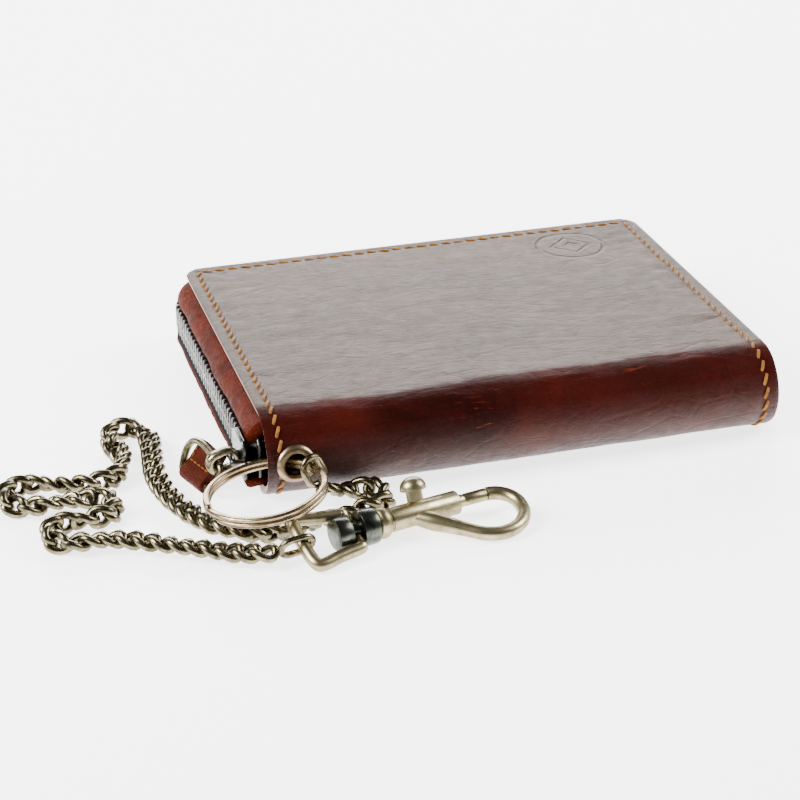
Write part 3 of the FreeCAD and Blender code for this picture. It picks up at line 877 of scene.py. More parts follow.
@dataclass(frozen=True)
class GrainLeather:
    """Matt grained leather of the gussets, the pull and the inside."""

    name: str
    dark: tuple[float, float, float]
    light: tuple[float, float, float]
    grain: float = 1500.0
    roughness: float = 0.55

    def material(self) -> bpy.types.Material:
        """Return the finished material."""
        p = Paint(self.name)
        tone = p.noise(110, 5, 0.65, 0.8)
        colour = p.ramp(tone, (0.28, self.dark), (0.75, self.light))
        cells = p.cells(self.grain, True)
        colour = p.mix(p.scaled(cells, 0, 0.12, 0.45, 0), colour, tuple(c * 0.25 for c in self.dark))
        pebble = p.bump(p.scaled(cells, 0, 0.3, 0, 1), 0.70, 0.00020)
        normal = p.bump(p.noise(420, 5, 0.6, 0.6), 0.45, 0.0005, pebble)
        rough = p.scaled(p.noise(700, 2), 0.3, 0.7, self.roughness - 0.08, self.roughness + 0.1)
        p.tint((1.0, 0.72, 0.60))
        return p.finish(colour, rough, normal, IOR=1.35, Specular_IOR_Level=0.06)


@dataclass(frozen=True)
class EdgePaint:
    """Painted cut edge of the cover."""

    colour: tuple[float, float, float] = (0.52, 0.33, 0.32)

    def material(self) -> bpy.types.Material:
        """Return the finished material."""
        p = Paint("edge_paint")
        worn = p.noise(300, 5, 0.6, 0.4)
        colour = p.ramp(worn, (0.32, tuple(c * 0.35 for c in self.colour)), (0.6, self.colour))
        return p.finish(colour, 0.5, p.bump(p.noise(900, 3), 0.25, 0.0002), IOR=1.5)


@dataclass(frozen=True)
class Metal:
    """Cast or drawn metal with antique plating, in random dark and bright patches."""

    name: str
    dark: tuple[float, float, float]
    bright: tuple[float, float, float]
    roughness: float = 0.28
    blotch: float = 420.0
    brushed: float = 0.0

    def material(self) -> bpy.types.Material:
        """Return the finished material."""
        p = Paint(self.name)
        patina = p.noise(self.blotch, 5, 0.62, 0.5)
        colour = p.ramp(patina, (0.30, self.dark), (0.66, self.bright))
        pits = p.noise(2600, 3, 0.6)
        normal = p.bump(pits, 0.14, 0.00008)
        if self.brushed > 0:
            turn = p.noise(2600, 4, 0.6, 0.0, p.stretched(0.10, 1, 1))
            normal = p.bump(turn, self.brushed, 0.00006, normal)
        rough = p.scaled(patina, 0.3, 0.7, self.roughness + 0.14, self.roughness)
        return p.finish(colour, rough, normal, Metallic=1.0)


@dataclass(frozen=True)
class Cloth:
    """Woven cloth of the zip tape and the lining."""

    name: str
    colour: tuple[float, float, float]
    threads: float = 2600.0

    def material(self) -> bpy.types.Material:
        """Return the finished material."""
        p = Paint(self.name)
        warp = p.add("ShaderNodeTexWave", wave_type="BANDS", bands_direction="X")
        weft = p.add("ShaderNodeTexWave", wave_type="BANDS", bands_direction="Y")
        for wave in (warp, weft):
            p.join(p.place, wave.inputs["Vector"])
            wave.inputs["Scale"].default_value = self.threads / 6.28
        weave = p.math("MULTIPLY", warp.outputs["Fac"], weft.outputs["Fac"])
        colour = p.mix(p.scaled(weave, 0, 1, 0.0, 0.6), tuple(c * 0.5 for c in self.colour),
                       tuple(min(1.0, c * 1.6) for c in self.colour))
        return p.finish(colour, 0.85, p.bump(weave, 0.5, 0.00015), Specular_IOR_Level=0.03)


@dataclass(frozen=True)
class Thread:
    """Waxed thread of the stitching."""

    name: str = "stitch_thread"
    colour: tuple[float, float, float] = (0.31, 0.118, 0.014)

    def material(self) -> bpy.types.Material:
        """Return the finished material."""
        p = Paint(self.name)
        tone = p.noise(900, 3)
        colour = p.ramp(tone, (0.3, tuple(c * 0.45 for c in self.colour)), (0.7, self.colour))
        ply = p.add("ShaderNodeTexWave", wave_type="BANDS", bands_direction="DIAGONAL")
        p.join(p.place, ply.inputs["Vector"])
        ply.inputs["Scale"].default_value = 480
        return p.finish(colour, 0.6, p.bump(ply.outputs["Fac"], 0.5, 0.00012), Specular_IOR_Level=0.2)


@dataclass(frozen=True)
class Board:
    """Stiffener board behind the lining."""

    def material(self) -> bpy.types.Material:
        """Return the finished material."""
        p = Paint("board")
        colour = p.ramp(p.noise(1500, 5), (0.3, (0.33, 0.25, 0.17)), (0.7, (0.50, 0.40, 0.29)))
        return p.finish(colour, 0.9, p.bump(p.noise(2600, 3), 0.3, 0.0001))


@dataclass
class Finishes:
    """Every material of the object."""

    cover: bpy.types.Material = field(default_factory=lambda: CoverLeather().material())
    edge: bpy.types.Material = field(default_factory=lambda: EdgePaint().material())
    gusset: bpy.types.Material = field(default_factory=lambda: GrainLeather(
        "gusset_leather", (0.024, 0.0028, 0.0010), (0.105, 0.0135, 0.0038), 1250).material())
    inner: bpy.types.Material = field(default_factory=lambda: GrainLeather(
        "inner_leather", (0.060, 0.013, 0.006), (0.150, 0.038, 0.017), 1300).material())
    tab: bpy.types.Material = field(default_factory=lambda: GrainLeather(
        "tab_leather", (0.028, 0.0050, 0.0030), (0.105, 0.020, 0.009), 1400, 0.45).material())
    # Near-black tape: partly the tape's own dark colour and partly painted shade, so the gaps between the
    # teeth read dark.
    tape: bpy.types.Material = field(default_factory=lambda: Cloth(
        "zip_tape_cloth", (0.007, 0.005, 0.005)).material())
    lining: bpy.types.Material = field(default_factory=lambda: Cloth(
        "lining_cloth", (0.060, 0.030, 0.022), 1900).material())
    thread: bpy.types.Material = field(default_factory=lambda: Thread().material())
    board: bpy.types.Material = field(default_factory=lambda: Board().material())
    teeth: bpy.types.Material = field(default_factory=lambda: Metal(
        "zip_metal", (0.030, 0.028, 0.028), (0.25, 0.24, 0.235), 0.24, 900).material())
    slider: bpy.types.Material = field(default_factory=lambda: Metal(
        "slider_metal", (0.022, 0.026, 0.024), (0.115, 0.12, 0.11), 0.22, 500).material())
    eyelet: bpy.types.Material = field(default_factory=lambda: Metal(
        "eyelet_metal", (0.12, 0.083, 0.048), (0.42, 0.31, 0.19), 0.28, 380).material())
    ring: bpy.types.Material = field(default_factory=lambda: Metal(
        "ring_metal", (0.13, 0.092, 0.052), (0.44, 0.33, 0.20), 0.22, 240).material())
    chain: bpy.types.Material = field(default_factory=lambda: Metal(
        "chain_metal", (0.020, 0.018, 0.011), (0.255, 0.215, 0.125), 0.20, 480).material())
    hook: bpy.types.Material = field(default_factory=lambda: Metal(
        "hook_metal", (0.150, 0.128, 0.066), (0.43, 0.365, 0.215), 0.28, 260, 0.3).material())
    swivel: bpy.types.Material = field(default_factory=lambda: Metal(
        "swivel_metal", (0.016, 0.020, 0.018), (0.120, 0.125, 0.100), 0.22, 420).material())
    pull: bpy.types.Material = field(default_factory=lambda: Metal(
        "pull_metal", (0.060, 0.054, 0.030), (0.34, 0.295, 0.18), 0.24, 420).material())
    spring: bpy.types.Material = field(default_factory=lambda: Metal(
        "spring_metal", (0.35, 0.35, 0.35), (0.70, 0.70, 0.70), 0.25, 900).material())


# ---- stage -------------------------------------------------------------------------------------
class Studio:
    """Camera, white table and soft light."""

    PLACE = (-146.20, -475.06, 230.54)
    FORWARD = (0.23736, 0.87318, -0.42569)
    RIGHT = (0.96265, -0.27018, -0.01743)
    LENS = 101.25
    FLOOR_HALF = 4000.0
    FLOOR_DROP = 0.02

    def build(self) -> None:
        """Make the camera, the floor and the lights."""
        self._camera()
        self._floor()
        self._lights()

    def _camera(self) -> None:
        """Place the camera and make it the active one."""
        data = bpy.data.cameras.new("camera")
        data.lens = self.LENS
        data.sensor_width = 36.0
        data.clip_start = 0.01
        camera = bpy.data.objects.new("camera", data)
        right, forward = Vector(self.RIGHT), Vector(self.FORWARD)
        up = right.cross(forward)
        matrix = Matrix((right, up, -forward)).transposed().to_4x4()
        matrix.translation = Vector(self.PLACE) * MM
        camera.matrix_world = matrix
        bpy.context.scene.collection.objects.link(camera)
        bpy.context.scene.camera = camera

    def _floor(self) -> None:
        """Lay the pale floor."""
        line = np.linspace(-self.FLOOR_HALF, self.FLOOR_HALF, 5)
        x, y = np.meshgrid(line, line, indexing="ij")
        floor = Shape().grid(np.stack([x, y, x * 0 - self.FLOOR_DROP], axis=-1))
        p = Paint("floor")
        tone = p.ramp(p.noise(3, 2), (0.2, (0.89, 0.89, 0.90)), (0.8, (0.92, 0.92, 0.92)))
        material = p.finish(tone, 0.45, None, IOR=1.3, Emission_Strength=3.0)
        p.shader.inputs["Emission Color"].default_value = (1, 1, 1, 1)
        floor.build("floor", material, closed=False)

    def _lights(self) -> None:
        """Set the dim world and the three softboxes."""
        world = bpy.data.worlds.new("studio")
        world.use_nodes = True
        world.node_tree.nodes["Background"].inputs["Color"].default_value = (1, 1, 1, 1)
        world.node_tree.nodes["Background"].inputs["Strength"].default_value = 0.06
        bpy.context.scene.world = world
        self._softbox("back_light", (160, 1000, 420), 1100, 420, 24.0)
        self._softbox("left_light", (-760, -40, 620), 520, 520, 26.0)
        self._softbox("right_light", (760, -20, 560), 460, 460, 14.0)

    def _softbox(self, name: str, place: tuple[float, float, float], wide: float, high: float,
                 power: float) -> None:
        """A rectangular light aimed at the wallet.

        Args:
            name: its name.
            place: where it hangs.
            wide: its width.
            high: its height.
            power: its power in watts.
        """
        data = bpy.data.lights.new(name, "AREA")
        data.shape = "RECTANGLE"
        data.size, data.size_y = wide * MM, high * MM
        data.energy = power
        light = bpy.data.objects.new(name, data)
        here = Vector(place) * MM
        aim = Vector((0, 0, 0.01)) - here
        light.matrix_world = Matrix.Translation(here) @ aim.to_track_quat("-Z", "Y").to_matrix().to_4x4()
        bpy.context.scene.collection.objects.link(light)


# ---- the case ----------------------------------------------------------------------------------
class Case:
    """Front cover with the spine, back cover, stitching."""

    BEND_START = (0, -0.0405, 0.02)
    BEND_END = (0, -0.0360, 0.02)

    def __init__(self, finishes: Finishes) -> None:
        self.finishes = finishes
        self.flat_length = COVER.half_width - COVER.spine_y
        self.round_length = math.pi * COVER.spine_radius

    def half_length_at(self, y: Array) -> Array:
        """Half the cover's length at a distance from the spine: less at the rounded far corners."""
        into = np.clip(y - (COVER.half_width - COVER.corner), 0, COVER.corner)
        return COVER.half_length - COVER.corner + np.sqrt(COVER.corner ** 2 - into ** 2)

    def surface(self, x: Array, s: Array, lift: Array) -> tuple[Array, Array]:
        """Points and outward directions of the case.

        s runs from the far edge over the flat cover and round the spine to the table.

        Args:
            x: place along the spine.
            s: distance from the far edge over the cover.
            lift: height over the surface.

        Returns:
            The points and the outward directions.
        """
        angle = np.clip((s - self.flat_length) / COVER.spine_radius, 0, math.pi)
        flat_y = COVER.half_width - np.minimum(s, self.flat_length)
        y = np.where(s < self.flat_length, flat_y, COVER.spine_y - COVER.spine_radius * np.sin(angle))
        z = COVER.spine_radius + COVER.spine_radius * np.cos(angle)
        out = np.stack([x * 0, -np.sin(angle), np.cos(angle)], axis=-1)
        return np.stack([x, y, z], axis=-1) + out * lift[..., None], out

    def relief(self, x: Array, s: Array) -> Array:
        """Height of the leather over its flat shape, in millimetres.

        A shallow channel follows the stitching, with small pulls at each stitch; folds start at
        the seam and fade inward; the middle is gently uneven; the edge is rolled down.

        Args:
            x: place along the spine.
            s: distance from the far edge over the cover.

        Returns:
            The heights.
        """
        y = COVER.half_width - np.minimum(s, self.flat_length)
        side = self.half_length_at(y) - np.abs(x)
        edge = np.minimum(side, np.maximum(s, 0) + 0 * x)
        seam = edge - COVER.stitch_inset
        along = np.where(side < s, s, x + 200)
        pull = 0.5 + 0.5 * np.cos(2 * math.pi * along / COVER.stitch_pitch)
        channel = -(0.20 + 0.10 * pull) * np.exp(-(seam / 0.75) ** 2)
        inside = np.clip(seam, 0, None)
        folds = noise(along + 2.5 * noise(x, s, 9, 3), inside * 0.22, 2.3, 5)
        folds += 0.6 * noise(along, inside * 0.35, 4.6, 6)
        folds = folds * 0.30 * smooth(0.3, 2.5, inside) * np.exp(-inside / 13.0)
        swell = 0.20 * noise(x, s, 24, 7) + 0.10 * noise(x * 0.8, s * 1.7, 8, 8)
        swell = swell + 0.045 * noise(x * 0.7 + 3 * noise(x, s, 12, 10), s * 2.2, 2.6, 9)
        swell = swell * smooth(0, 6, inside)
        bend = np.exp(-((s - self.flat_length - 3) / 7.0) ** 2)
        ripples = 0.10 * bend * noise(x * 0.5, s * 2.0, 3.2, 11)
        rolled = -0.22 * (1 - smooth(0, 0.8, edge)) ** 2
        return channel + folds + swell + ripples + rolled

    def build(self) -> None:
        """Make the covers, the spine and the stitching."""
        front = self._front_and_spine()
        self._bend_at_hinge(front)
        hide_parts("front_cover", "spine_cover")
        back = self._back()
        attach(back, Body.WALLET.value)
        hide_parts("back_cover")
        self._stitching()

    def _bend_at_hinge(self, piece: bpy.types.Object) -> None:
        """Bake a piece of the case's placement into its mesh."""
        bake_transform(piece)

    def _front_and_spine(self) -> bpy.types.Object:
        """Make the front cover and the spine as one sheet, with the hole for the eyelet."""
        total = self.flat_length + self.round_length
        s = np.linspace(0, total, int(total / COVER.step) + 1)
        t = np.linspace(-1, 1, int(2 * COVER.half_length / COVER.step) + 1)
        t, s = np.meshgrid(t, s)
        x = t * self.half_length_at(COVER.half_width - np.minimum(s, self.flat_length))
        grid, _ = self.surface(x, s, self.relief(x, s))
        middle = (grid[:-1, :-1] + grid[1:, 1:]) / 2
        away = np.hypot(middle[..., 0] - COVER.hole_x, middle[..., 2] - COVER.hole_z)
        skip = (away < COVER.hole_radius) & (middle[..., 1] < COVER.spine_y)
        shape = Shape().grid(grid, skip=skip)
        cover = shape.build("cover_leather", self.finishes.cover, self.finishes.edge, closed=False)
        self._thicken(cover)
        return cover

    def _back(self) -> bpy.types.Object:
        """Make the back cover, flat on the table."""
        s = np.linspace(0, self.flat_length, int(self.flat_length / 1.4) + 1)
        t = np.linspace(-1, 1, int(2 * COVER.half_length / 1.4) + 1)
        t, s = np.meshgrid(t, s)
        x = t * self.half_length_at(COVER.half_width - s)
        lift = np.clip(self.relief(x, s), -1, 0)
        grid = np.stack([x, COVER.half_width - s, -lift], axis=-1)
        back = Shape().grid(grid, flip=True).build("back_cover_leather", self.finishes.cover,
                                                   self.finishes.edge, closed=False)
        self._thicken(back)
        return back

    def _thicken(self, obj: bpy.types.Object) -> None:
        """Give the leather its thickness, with a painted edge.

        Args:
            obj: the sheet.
        """
        solid = obj.modifiers.new("thickness", "SOLIDIFY")
        solid.thickness = COVER.thickness * MM
        solid.offset = -1.0
        solid.material_offset_rim = 1
        bevel(obj, 0.30, 2, 50)

    def _seam(self, step: float) -> tuple[Array, Array]:
        """(x, s) of each stitch, and the seam's direction there, round the three sides.

        Args:
            step: the pitch of the stitches.

        Returns:
            The places and the directions.
        """
        inset = COVER.stitch_inset
        total = self.flat_length + self.round_length - 3.0
        x0, s0 = COVER.half_length - inset, inset
        r = COVER.corner - inset
        a = np.linspace(0, math.pi / 2, 6)
        corner_left = np.stack([-x0 + r - r * np.cos(a), s0 + r - r * np.sin(a), 0 * a], axis=1)
        left = np.array([[-x0, total, 0.0], [-x0, s0 + r + 0.1, 0.0]])
        right = np.flipud(np.concatenate([left, corner_left])) * np.array([-1, 1, 1])
        line = np.concatenate([left, corner_left, right])
        return resample(line, step, 1.0, 1.0)

    def _stitching(self) -> None:
        """One slanted capsule of thread for each stitch."""
        places, ways = self._seam(COVER.stitch_pitch)
        front, back = Shape(), Shape()
        for place, way in zip(places, ways):
            x, s = place[0], place[1]
            self._stitch(front, x, s, way, under=False)
            if s < self.flat_length - 1.5:
                self._stitch(back, x, s, way, under=True)
        top = front.build("front_stitching", self.finishes.thread)
        self._bend_at_hinge(top)
        bottom = back.build("back_stitching", self.finishes.thread)
        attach(bottom, Body.WALLET.value)

    def _stitch(self, shape: Shape, x: float, s: float, way: Array, under: bool) -> None:
        """Add one stitch, sunk into the leather at its ends.

        Args:
            shape: gathers the stitches.
            x: place along the spine.
            s: distance from the far edge.
            way: the seam's direction.
            under: on the back cover.
        """
        reach = np.linspace(-1.45, 1.45, 9)
        slant = 0.42
        xs = x + reach * (way[0] - slant * way[1])
        ss = s + reach * (way[1] + slant * way[0])
        sink = 0.42 * (reach / 1.45) ** 4
        base = self.relief(np.array([x]), np.array([s]))[0]
        if under:
            path = np.stack([xs, COVER.half_width - ss, 0.42 + sink], axis=1)
            out = np.array([0, 0, -1.0])
        else:
            path, out = self.surface(xs, ss, base + 0.20 - sink)
            out = out[4]
        scale = np.sqrt(np.clip(1 - (reach / 1.55) ** 6, 0.15, 1))
        shape.sweep(path, out, ellipse(0.38, 0.30, 8), scale=scale)


# ---- the zip ------------------------------------------------------------------------------------
class Side:
    """The line of the cover's edge round three sides, from the left of the spine to the right."""

    def __init__(self) -> None:
        self.straight = COVER.half_width - COVER.corner - COVER.spine_y
        self.arc = COVER.corner * math.pi / 2
        self.across = 2 * (COVER.half_length - COVER.corner)
        self.length = 2 * self.straight + 2 * self.arc + self.across

    def place(self, t: Array) -> tuple[Array, Array]:
        """The edge's points and its outward directions, t millimetres along it.

        Args:
            t: lengths along the edge.

        Returns:
            The points and the directions.
        """
        t = np.asarray(t, float)
        turn = (np.clip((t - self.straight) / self.arc, 0, 1)
                + np.clip((t - self.straight - self.arc - self.across) / self.arc, 0, 1))
        angle = math.pi - turn * math.pi / 2
        out = np.stack([np.cos(angle), np.sin(angle), 0 * t], axis=-1)
        centre_x = (-(COVER.half_length - COVER.corner)
                    + np.clip(t - self.straight - self.arc, 0, self.across))
        centre_y = (COVER.spine_y + np.clip(t, None, self.straight)
                    - np.clip(t - (self.length - self.straight), 0, None))
        return np.stack([centre_x, centre_y, 0 * t], axis=-1) + out * COVER.corner, out

    def strip(self, t: Array, outline: Array) -> Array:
        """Points of an (out, z) outline carried along the edge, by row t and column outline.

        Args:
            t: lengths along the edge.
            outline: the outline at each of them.

        Returns:
            The grid.
        """
        base, out = self.place(t)
        grid = base[:, None] + out[:, None] * outline[..., :1]
        grid[..., 2] += outline[..., 1]
        return grid


class ZipSides:
    """Gussets, tapes and teeth."""

    def __init__(self, finishes: Finishes) -> None:
        self.finishes = finishes
        self.side = Side()

    def build(self) -> None:
        """Make both halves of the zip and their gussets."""
        self._gusset("front_gusset_leather", Body.FRONT, "front_gusset", [
            (-4.0, 17.9), (-2.2, 18.0), (-0.7, 17.75), (0.75, 16.9), (2.05, 15.5), (2.7, 14.0),
            (2.45, 12.9), (1.6, 12.35), (0.4, 12.6), (-1.2, 13.1), (-3.6, 14.2)], 21)
        self._gusset("back_gusset_leather", Body.WALLET, "back_gusset", [
            (-4.0, 2.3), (-1.5, 2.2), (0.6, 2.0), (2.3, 1.7), (3.25, 2.1), (3.5, 2.9),
            (3.0, 3.75), (1.9, 4.05), (0.4, 4.0), (-1.2, 3.9), (-3.6, 3.6)], 33)
        self._tape("zip_tape_upper_cloth", Body.FRONT, "zip_tape_upper", 12.9, 9.3, 0.55)
        self._tape("zip_tape_lower_cloth", Body.WALLET, "zip_tape_lower", 8.7, 3.6, 1.0)
        self._teeth("zip_teeth_upper_metal", Body.FRONT, "zip_teeth_upper", True)
        self._teeth("zip_teeth_lower_metal", Body.WALLET, "zip_teeth_lower", False)
        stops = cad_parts["zip_bottom_stops"]
        repaint(stops, self.finishes.teeth)

    def _gusset(self, name: str, body: Body, node: str, outline: list[tuple[float, float]],
                seed: int) -> None:
        """A puffed leather fold: its outline swells and sinks along the side.

        Args:
            name: the piece's name.
            body: the body that it rides on.
            node: the node that it replaces.
            outline: its (out, z) outline.
            seed: picks the waves.
        """
        t = np.linspace(-1.5, self.side.length + 1.5, int(self.side.length / 0.9))
        curve = smooth_closed(np.array([(a, b, 0.0) for a, b in outline]), 4)[:, :2]
        rows = np.repeat(curve[None], len(t), 0)
        middle = curve.mean(axis=0)
        puff = np.clip(curve[:, 0], 0, None) / curve[:, 0].max()
        wave = noise(t[:, None], curve[None, :, 1] * 1.5, 7, seed) * 0.28
        wave += noise(t[:, None], curve[None, :, 1] * 2.5, 2.6, seed + 1) * 0.12
        push = unit(curve - middle)[None] * (wave * puff[None])[..., None]
        grid = self.side.strip(t, rows + push)
        obj = Shape().grid(grid, close_columns=True, caps=True).build(name, self.finishes.gusset)
        settle(obj, body, "gusset_leather", node)

    def _tape(self, name: str, body: Body, node: str, z0: float, z1: float, out0: float) -> None:
        """A strip of woven tape, turned in at the gusset.

        Args:
            name: the piece's name.
            body: the body that it rides on.
            node: the node that it replaces.
            z0: height at the gusset.
            z1: height at the teeth.
            out0: how far out it starts.
        """
        t = np.linspace(-1.0, self.side.length + 1.0, 240)
        rise = (z1 - z0) * 0.24
        outline = np.array([(out0, z0), (ZIP.tape_out, z0 + rise), (ZIP.tape_out + 0.05, z1),
                            (ZIP.tape_out - 0.45, z1), (ZIP.tape_out - 0.5, z0 + rise),
                            (out0 - 0.5, z0)])
        grid = self.side.strip(t, np.repeat(outline[None], len(t), 0))
        obj = Shape().grid(grid, close_columns=True, caps=True).build(name, self.finishes.tape, sharp=40)
        settle(obj, body, "zip_tape", node)

    def _teeth(self, name: str, body: Body, node: str, upper: bool) -> None:
        """A row of teeth: each a rounded bar bent over the tape's edge, with a domed head.

        Args:
            name: the piece's name.
            body: the body that it rides on.
            node: the node that it replaces.
            upper: the upper row.
        """
        first = ZIP.first + (0 if upper else ZIP.pitch / 2)
        stations = np.arange(first, self.side.length - ZIP.last_gap, ZIP.pitch)
        base, out = self.side.place(stations)
        along = np.stack([out[:, 1], -out[:, 0], 0 * out[:, 0]], axis=-1)
        sign = 1 if upper else -1
        shape = Shape()
        reach = ZIP.tooth_outside - ZIP.tooth_inside
        profile = [(-0.60, 0.55, 0.75), (-0.45, 0.85, 0.95), (0.35, 1.0, 1.0), (2.4, 1.0, 1.0),
                   (3.25, 0.92, 0.88), (3.5, 0.70, 0.60)]
        section = ellipse(ZIP.tooth_wide / 2, reach / 2, 10, 3.4)
        for b, o, a in zip(base, out, along):
            rows = []
            for rise, wide, deep in profile:
                centre = b + o * (ZIP.tooth_inside + reach * 0.5)
                centre = centre + np.array([0, 0, ZIP.height + sign * rise])
                ring = centre + a * section[:, :1] * wide + o * section[:, 1:] * deep
                rows.append(ring)
            shape.grid(np.stack(rows), close_columns=True, caps=True)
        obj = shape.build(name, self.finishes.teeth, sharp=50)
        settle(obj, body, "zip_metal", node)


# ---- slider and pull --------------------------------------------------------------------------
class Pull:
    """The slider, its bail, the cast link, the wire loop and the leather tab."""

    ALONG = unit(np.array([-0.3, 0.954, 0.0]))
    INBOARD = np.array([ALONG[1], -ALONG[0], 0.0])
    LOOP_TOP = np.array([-69.2161, -37.75, 7.9568])
    BAR_RUN = 2.1
    BAR_OFFSET = 6.0
    BAR_Z = 1.95

    def __init__(self, finishes: Finishes) -> None:
        self.finishes = finishes
        bar = self.LOOP_TOP - self.INBOARD * self.BAR_RUN + self.ALONG * self.BAR_OFFSET
        self.bar = np.array([bar[0], bar[1], self.BAR_Z])
        rise = self.LOOP_TOP - self.bar
        rise = rise - self.ALONG * rise.dot(self.ALONG)
        self.reach = float(np.linalg.norm(rise))
        self.rise = rise / self.reach
        self.top_side = float((self.LOOP_TOP - self.bar).dot(self.ALONG))

    def build(self) -> None:
        """Make every piece of the pull."""
        self._slider()
        self._bail()
        self._link()
        self._loop()
        self._tab()

    def _slider(self) -> None:
        """Two shield-shaped plates and folded lips on the outer one."""
        y0, y1, low, high = SLIDER.y0, SLIDER.y1, SLIDER.low, SLIDER.high
        outline = np.array([(y0, low + 1.2), (y0 + 1.2, low), (y1 - 3.5, low), (y1, low + 1.7),
                            (y1, high - 1.7), (y1 - 3.5, high), (y0 + 1.2, high), (y0, high - 1.2)])
        face = placement(np.array([SLIDER.outer, 0, 0]), np.array([0, 1, 0]), np.array([1, 0, 0]))
        shape = Shape().plate(outline, SLIDER.plate, face)
        inner = placement(np.array([SLIDER.inner - 0.9, 0, 0]), np.array([0, 1, 0]), np.array([1, 0, 0]))
        shape.plate(outline, SLIDER.plate, inner)
        for z0, z1 in ((low, low + 0.9), (high - 0.9, high)):
            lip = np.array([(y0 + 1.2, z0), (y1 - 3.2, z0), (y1 - 3.2, z1), (y0 + 1.2, z1)])
            shape.plate(lip, SLIDER.lip, face)
        obj = shape.build("slider_casting", self.finishes.slider, sharp=30)
        bevel(obj, 0.28, 3, 25)
        settle(obj, Body.SLIDER, "slider_metal", "zip_slider")

    def _bail(self) -> None:
        """An arch of flat bar on the outer plate."""
        x0, x1 = SLIDER.outer + 0.2, SLIDER.bail_x
        y0, y1 = SLIDER.bail_y0 + 0.4, SLIDER.bail_y1 - 0.4
        points = np.array([(x0, y0, ZIP.height), (x1 - 0.3, y0 - 0.1, ZIP.height),
                           (x1, y0 + 1.2, ZIP.height), (x1, y1 - 1.2, ZIP.height),
                           (x1 - 0.3, y1 + 0.1, ZIP.height), (x0, y1, ZIP.height)])
        shape = Shape().sweep(smooth_open(points, 8), np.array([0, 0, 1.0]), ellipse(0.42, 0.62, 12, 3))
        obj = shape.build("slider_bail_arch", self.finishes.slider)
        settle(obj, Body.SLIDER, "slider_metal", "slider_bail")

    def _link(self) -> None:
        """A thick cast oval round the bail."""
        droop = math.radians(SLIDER.link_droop)
        outward = np.array([-math.cos(droop), 0, -math.sin(droop)])
        upright = np.array([-math.sin(droop), 0, math.cos(droop)])
        start = np.array([SLIDER.bail_x, self.LOOP_TOP[1], ZIP.height])
        rim = SLIDER.link_rim
        half = (SLIDER.link_width - rim) / 2
        near, far = -1.4, SLIDER.link_length - 1.8 - rim / 2
        a = np.linspace(-math.pi / 2, math.pi / 2, 12)
        left = [start + outward * (near + half - 0.05 - half * math.cos(k)) + upright * half * math.sin(k)
                for k in a]
        right = [start + outward * (far - half + half * math.cos(k)) - upright * half * math.sin(k)
                 for k in a]
        path = np.array(left + right)
        section = ellipse(rim / 2, SLIDER.link_thick / 2, 14, 3.2)
        grow = 1.0 + 0.30 * smooth(0, 5.0, (path - start) @ outward)
        obj = Shape().sweep(path, np.array([0, 1.0, 0]), section, closed=True, scale=grow).build(
            "pull_link_casting", self.finishes.pull)
        settle(obj, Body.PULL_LINK, "pull_brass", "pull_link")

    def _loop(self) -> None:
        """A closed bow of flattened wire with a straight bar."""
        outline = [(-6.45, 0.9), (-6.2, 0), (-5.2, 0), (0, 0), (6.2, 0), (7.1, 0), (7.3, 0.9),
                   (7.5, self.reach - 1.6), (5.6, self.reach + 1.1), (2.2, self.reach + 1.9),
                   (self.top_side + 3.2, self.reach + 0.9), (self.top_side, self.reach + 0.1),
                   (self.top_side - 2.4, self.reach - 0.6), (self.top_side - 2.2, self.reach - 2.4)]
        points = np.array([self.bar + self.ALONG * s + self.rise * q for s, q in outline])
        path = smooth_closed(points, 7)
        normal = np.cross(self.ALONG, self.rise)
        obj = Shape().sweep(path, normal, ellipse(0.78, 0.82, 12, 2.5), closed=True).build(
            "pull_loop_wire", self.finishes.pull)
        settle(obj, Body.PULL_LOOP, "pull_brass", "pull_loop")

    def _tab(self) -> None:
        """A strip of leather folded round the loop's bar and sewn to itself."""
        lean = math.radians(52)
        up = self.INBOARD * math.cos(lean) + np.array([0, 0, math.sin(lean)])
        face = np.cross(self.ALONG, up)
        wrap, leather = 1.75, 0.95
        a = np.linspace(0, math.pi, 9)
        outer = [(wrap * math.cos(k), -wrap * math.sin(k)) for k in a]
        right = [(-1.45, 1.6), (-1.05, 3.2), (-0.95, 5.5), (-0.9, 7.9), (-0.5, 8.15)]
        left = [(0.5, 8.15), (0.9, 7.9), (0.95, 5.5), (1.05, 3.2), (1.45, 1.6)]
        outline = np.array(outer + right + left)
        start = -9.8 / 2 + 0.8
        steps = np.linspace(0, 9.8, 15)
        rows = []
        for k in steps:
            bow = 0.35 * math.sin(k * 0.55 + 1.0)
            tall = outline[:, 1:] * (1 + 0.012 * np.sin(k))
            curve = 0.05 * np.clip(outline[:, 1:], 0, None) ** 1.5 * 0.3 * bow
            ring = (self.bar + self.ALONG * (start + k) + face * (outline[:, :1] + curve) + up * tall)
            rows.append(ring)
        obj = Shape().grid(np.stack(rows), close_columns=True, caps=True).build(
            "pull_tab_leather", self.finishes.tab, sharp=60)
        bevel(obj, 0.25, 2, 50)
        settle(obj, Body.PULL_TAB, "tab_leather", "pull_tab")
        thread = Shape()
        for side in (-1, 1):
            for k in np.arange(0.9, 9.2, 1.7):
                line = np.linspace(0, 1.15, 5)[:, None]
                begin = self.bar + self.ALONG * (start + k) + up * 3.0 + face * side * (1.02 + 0.08)
                thread.sweep(begin + self.ALONG * line, face * side, ellipse(0.17, 0.13, 6))
            for k in np.arange(3.6, 7.2, 1.7):
                line = np.linspace(0, 1.15, 5)[:, None]
                for edge in (0.9, 8.9):
                    begin = (self.bar + self.ALONG * (start + edge) + up * k
                             + face * side * (1.02 + 0.02))
                    thread.sweep(begin + up * line, face * side, ellipse(0.17, 0.13, 6))
        sewn = thread.build("pull_tab_stitching", self.finishes.thread)
        settle(sewn, Body.PULL_TAB, "tab_leather")


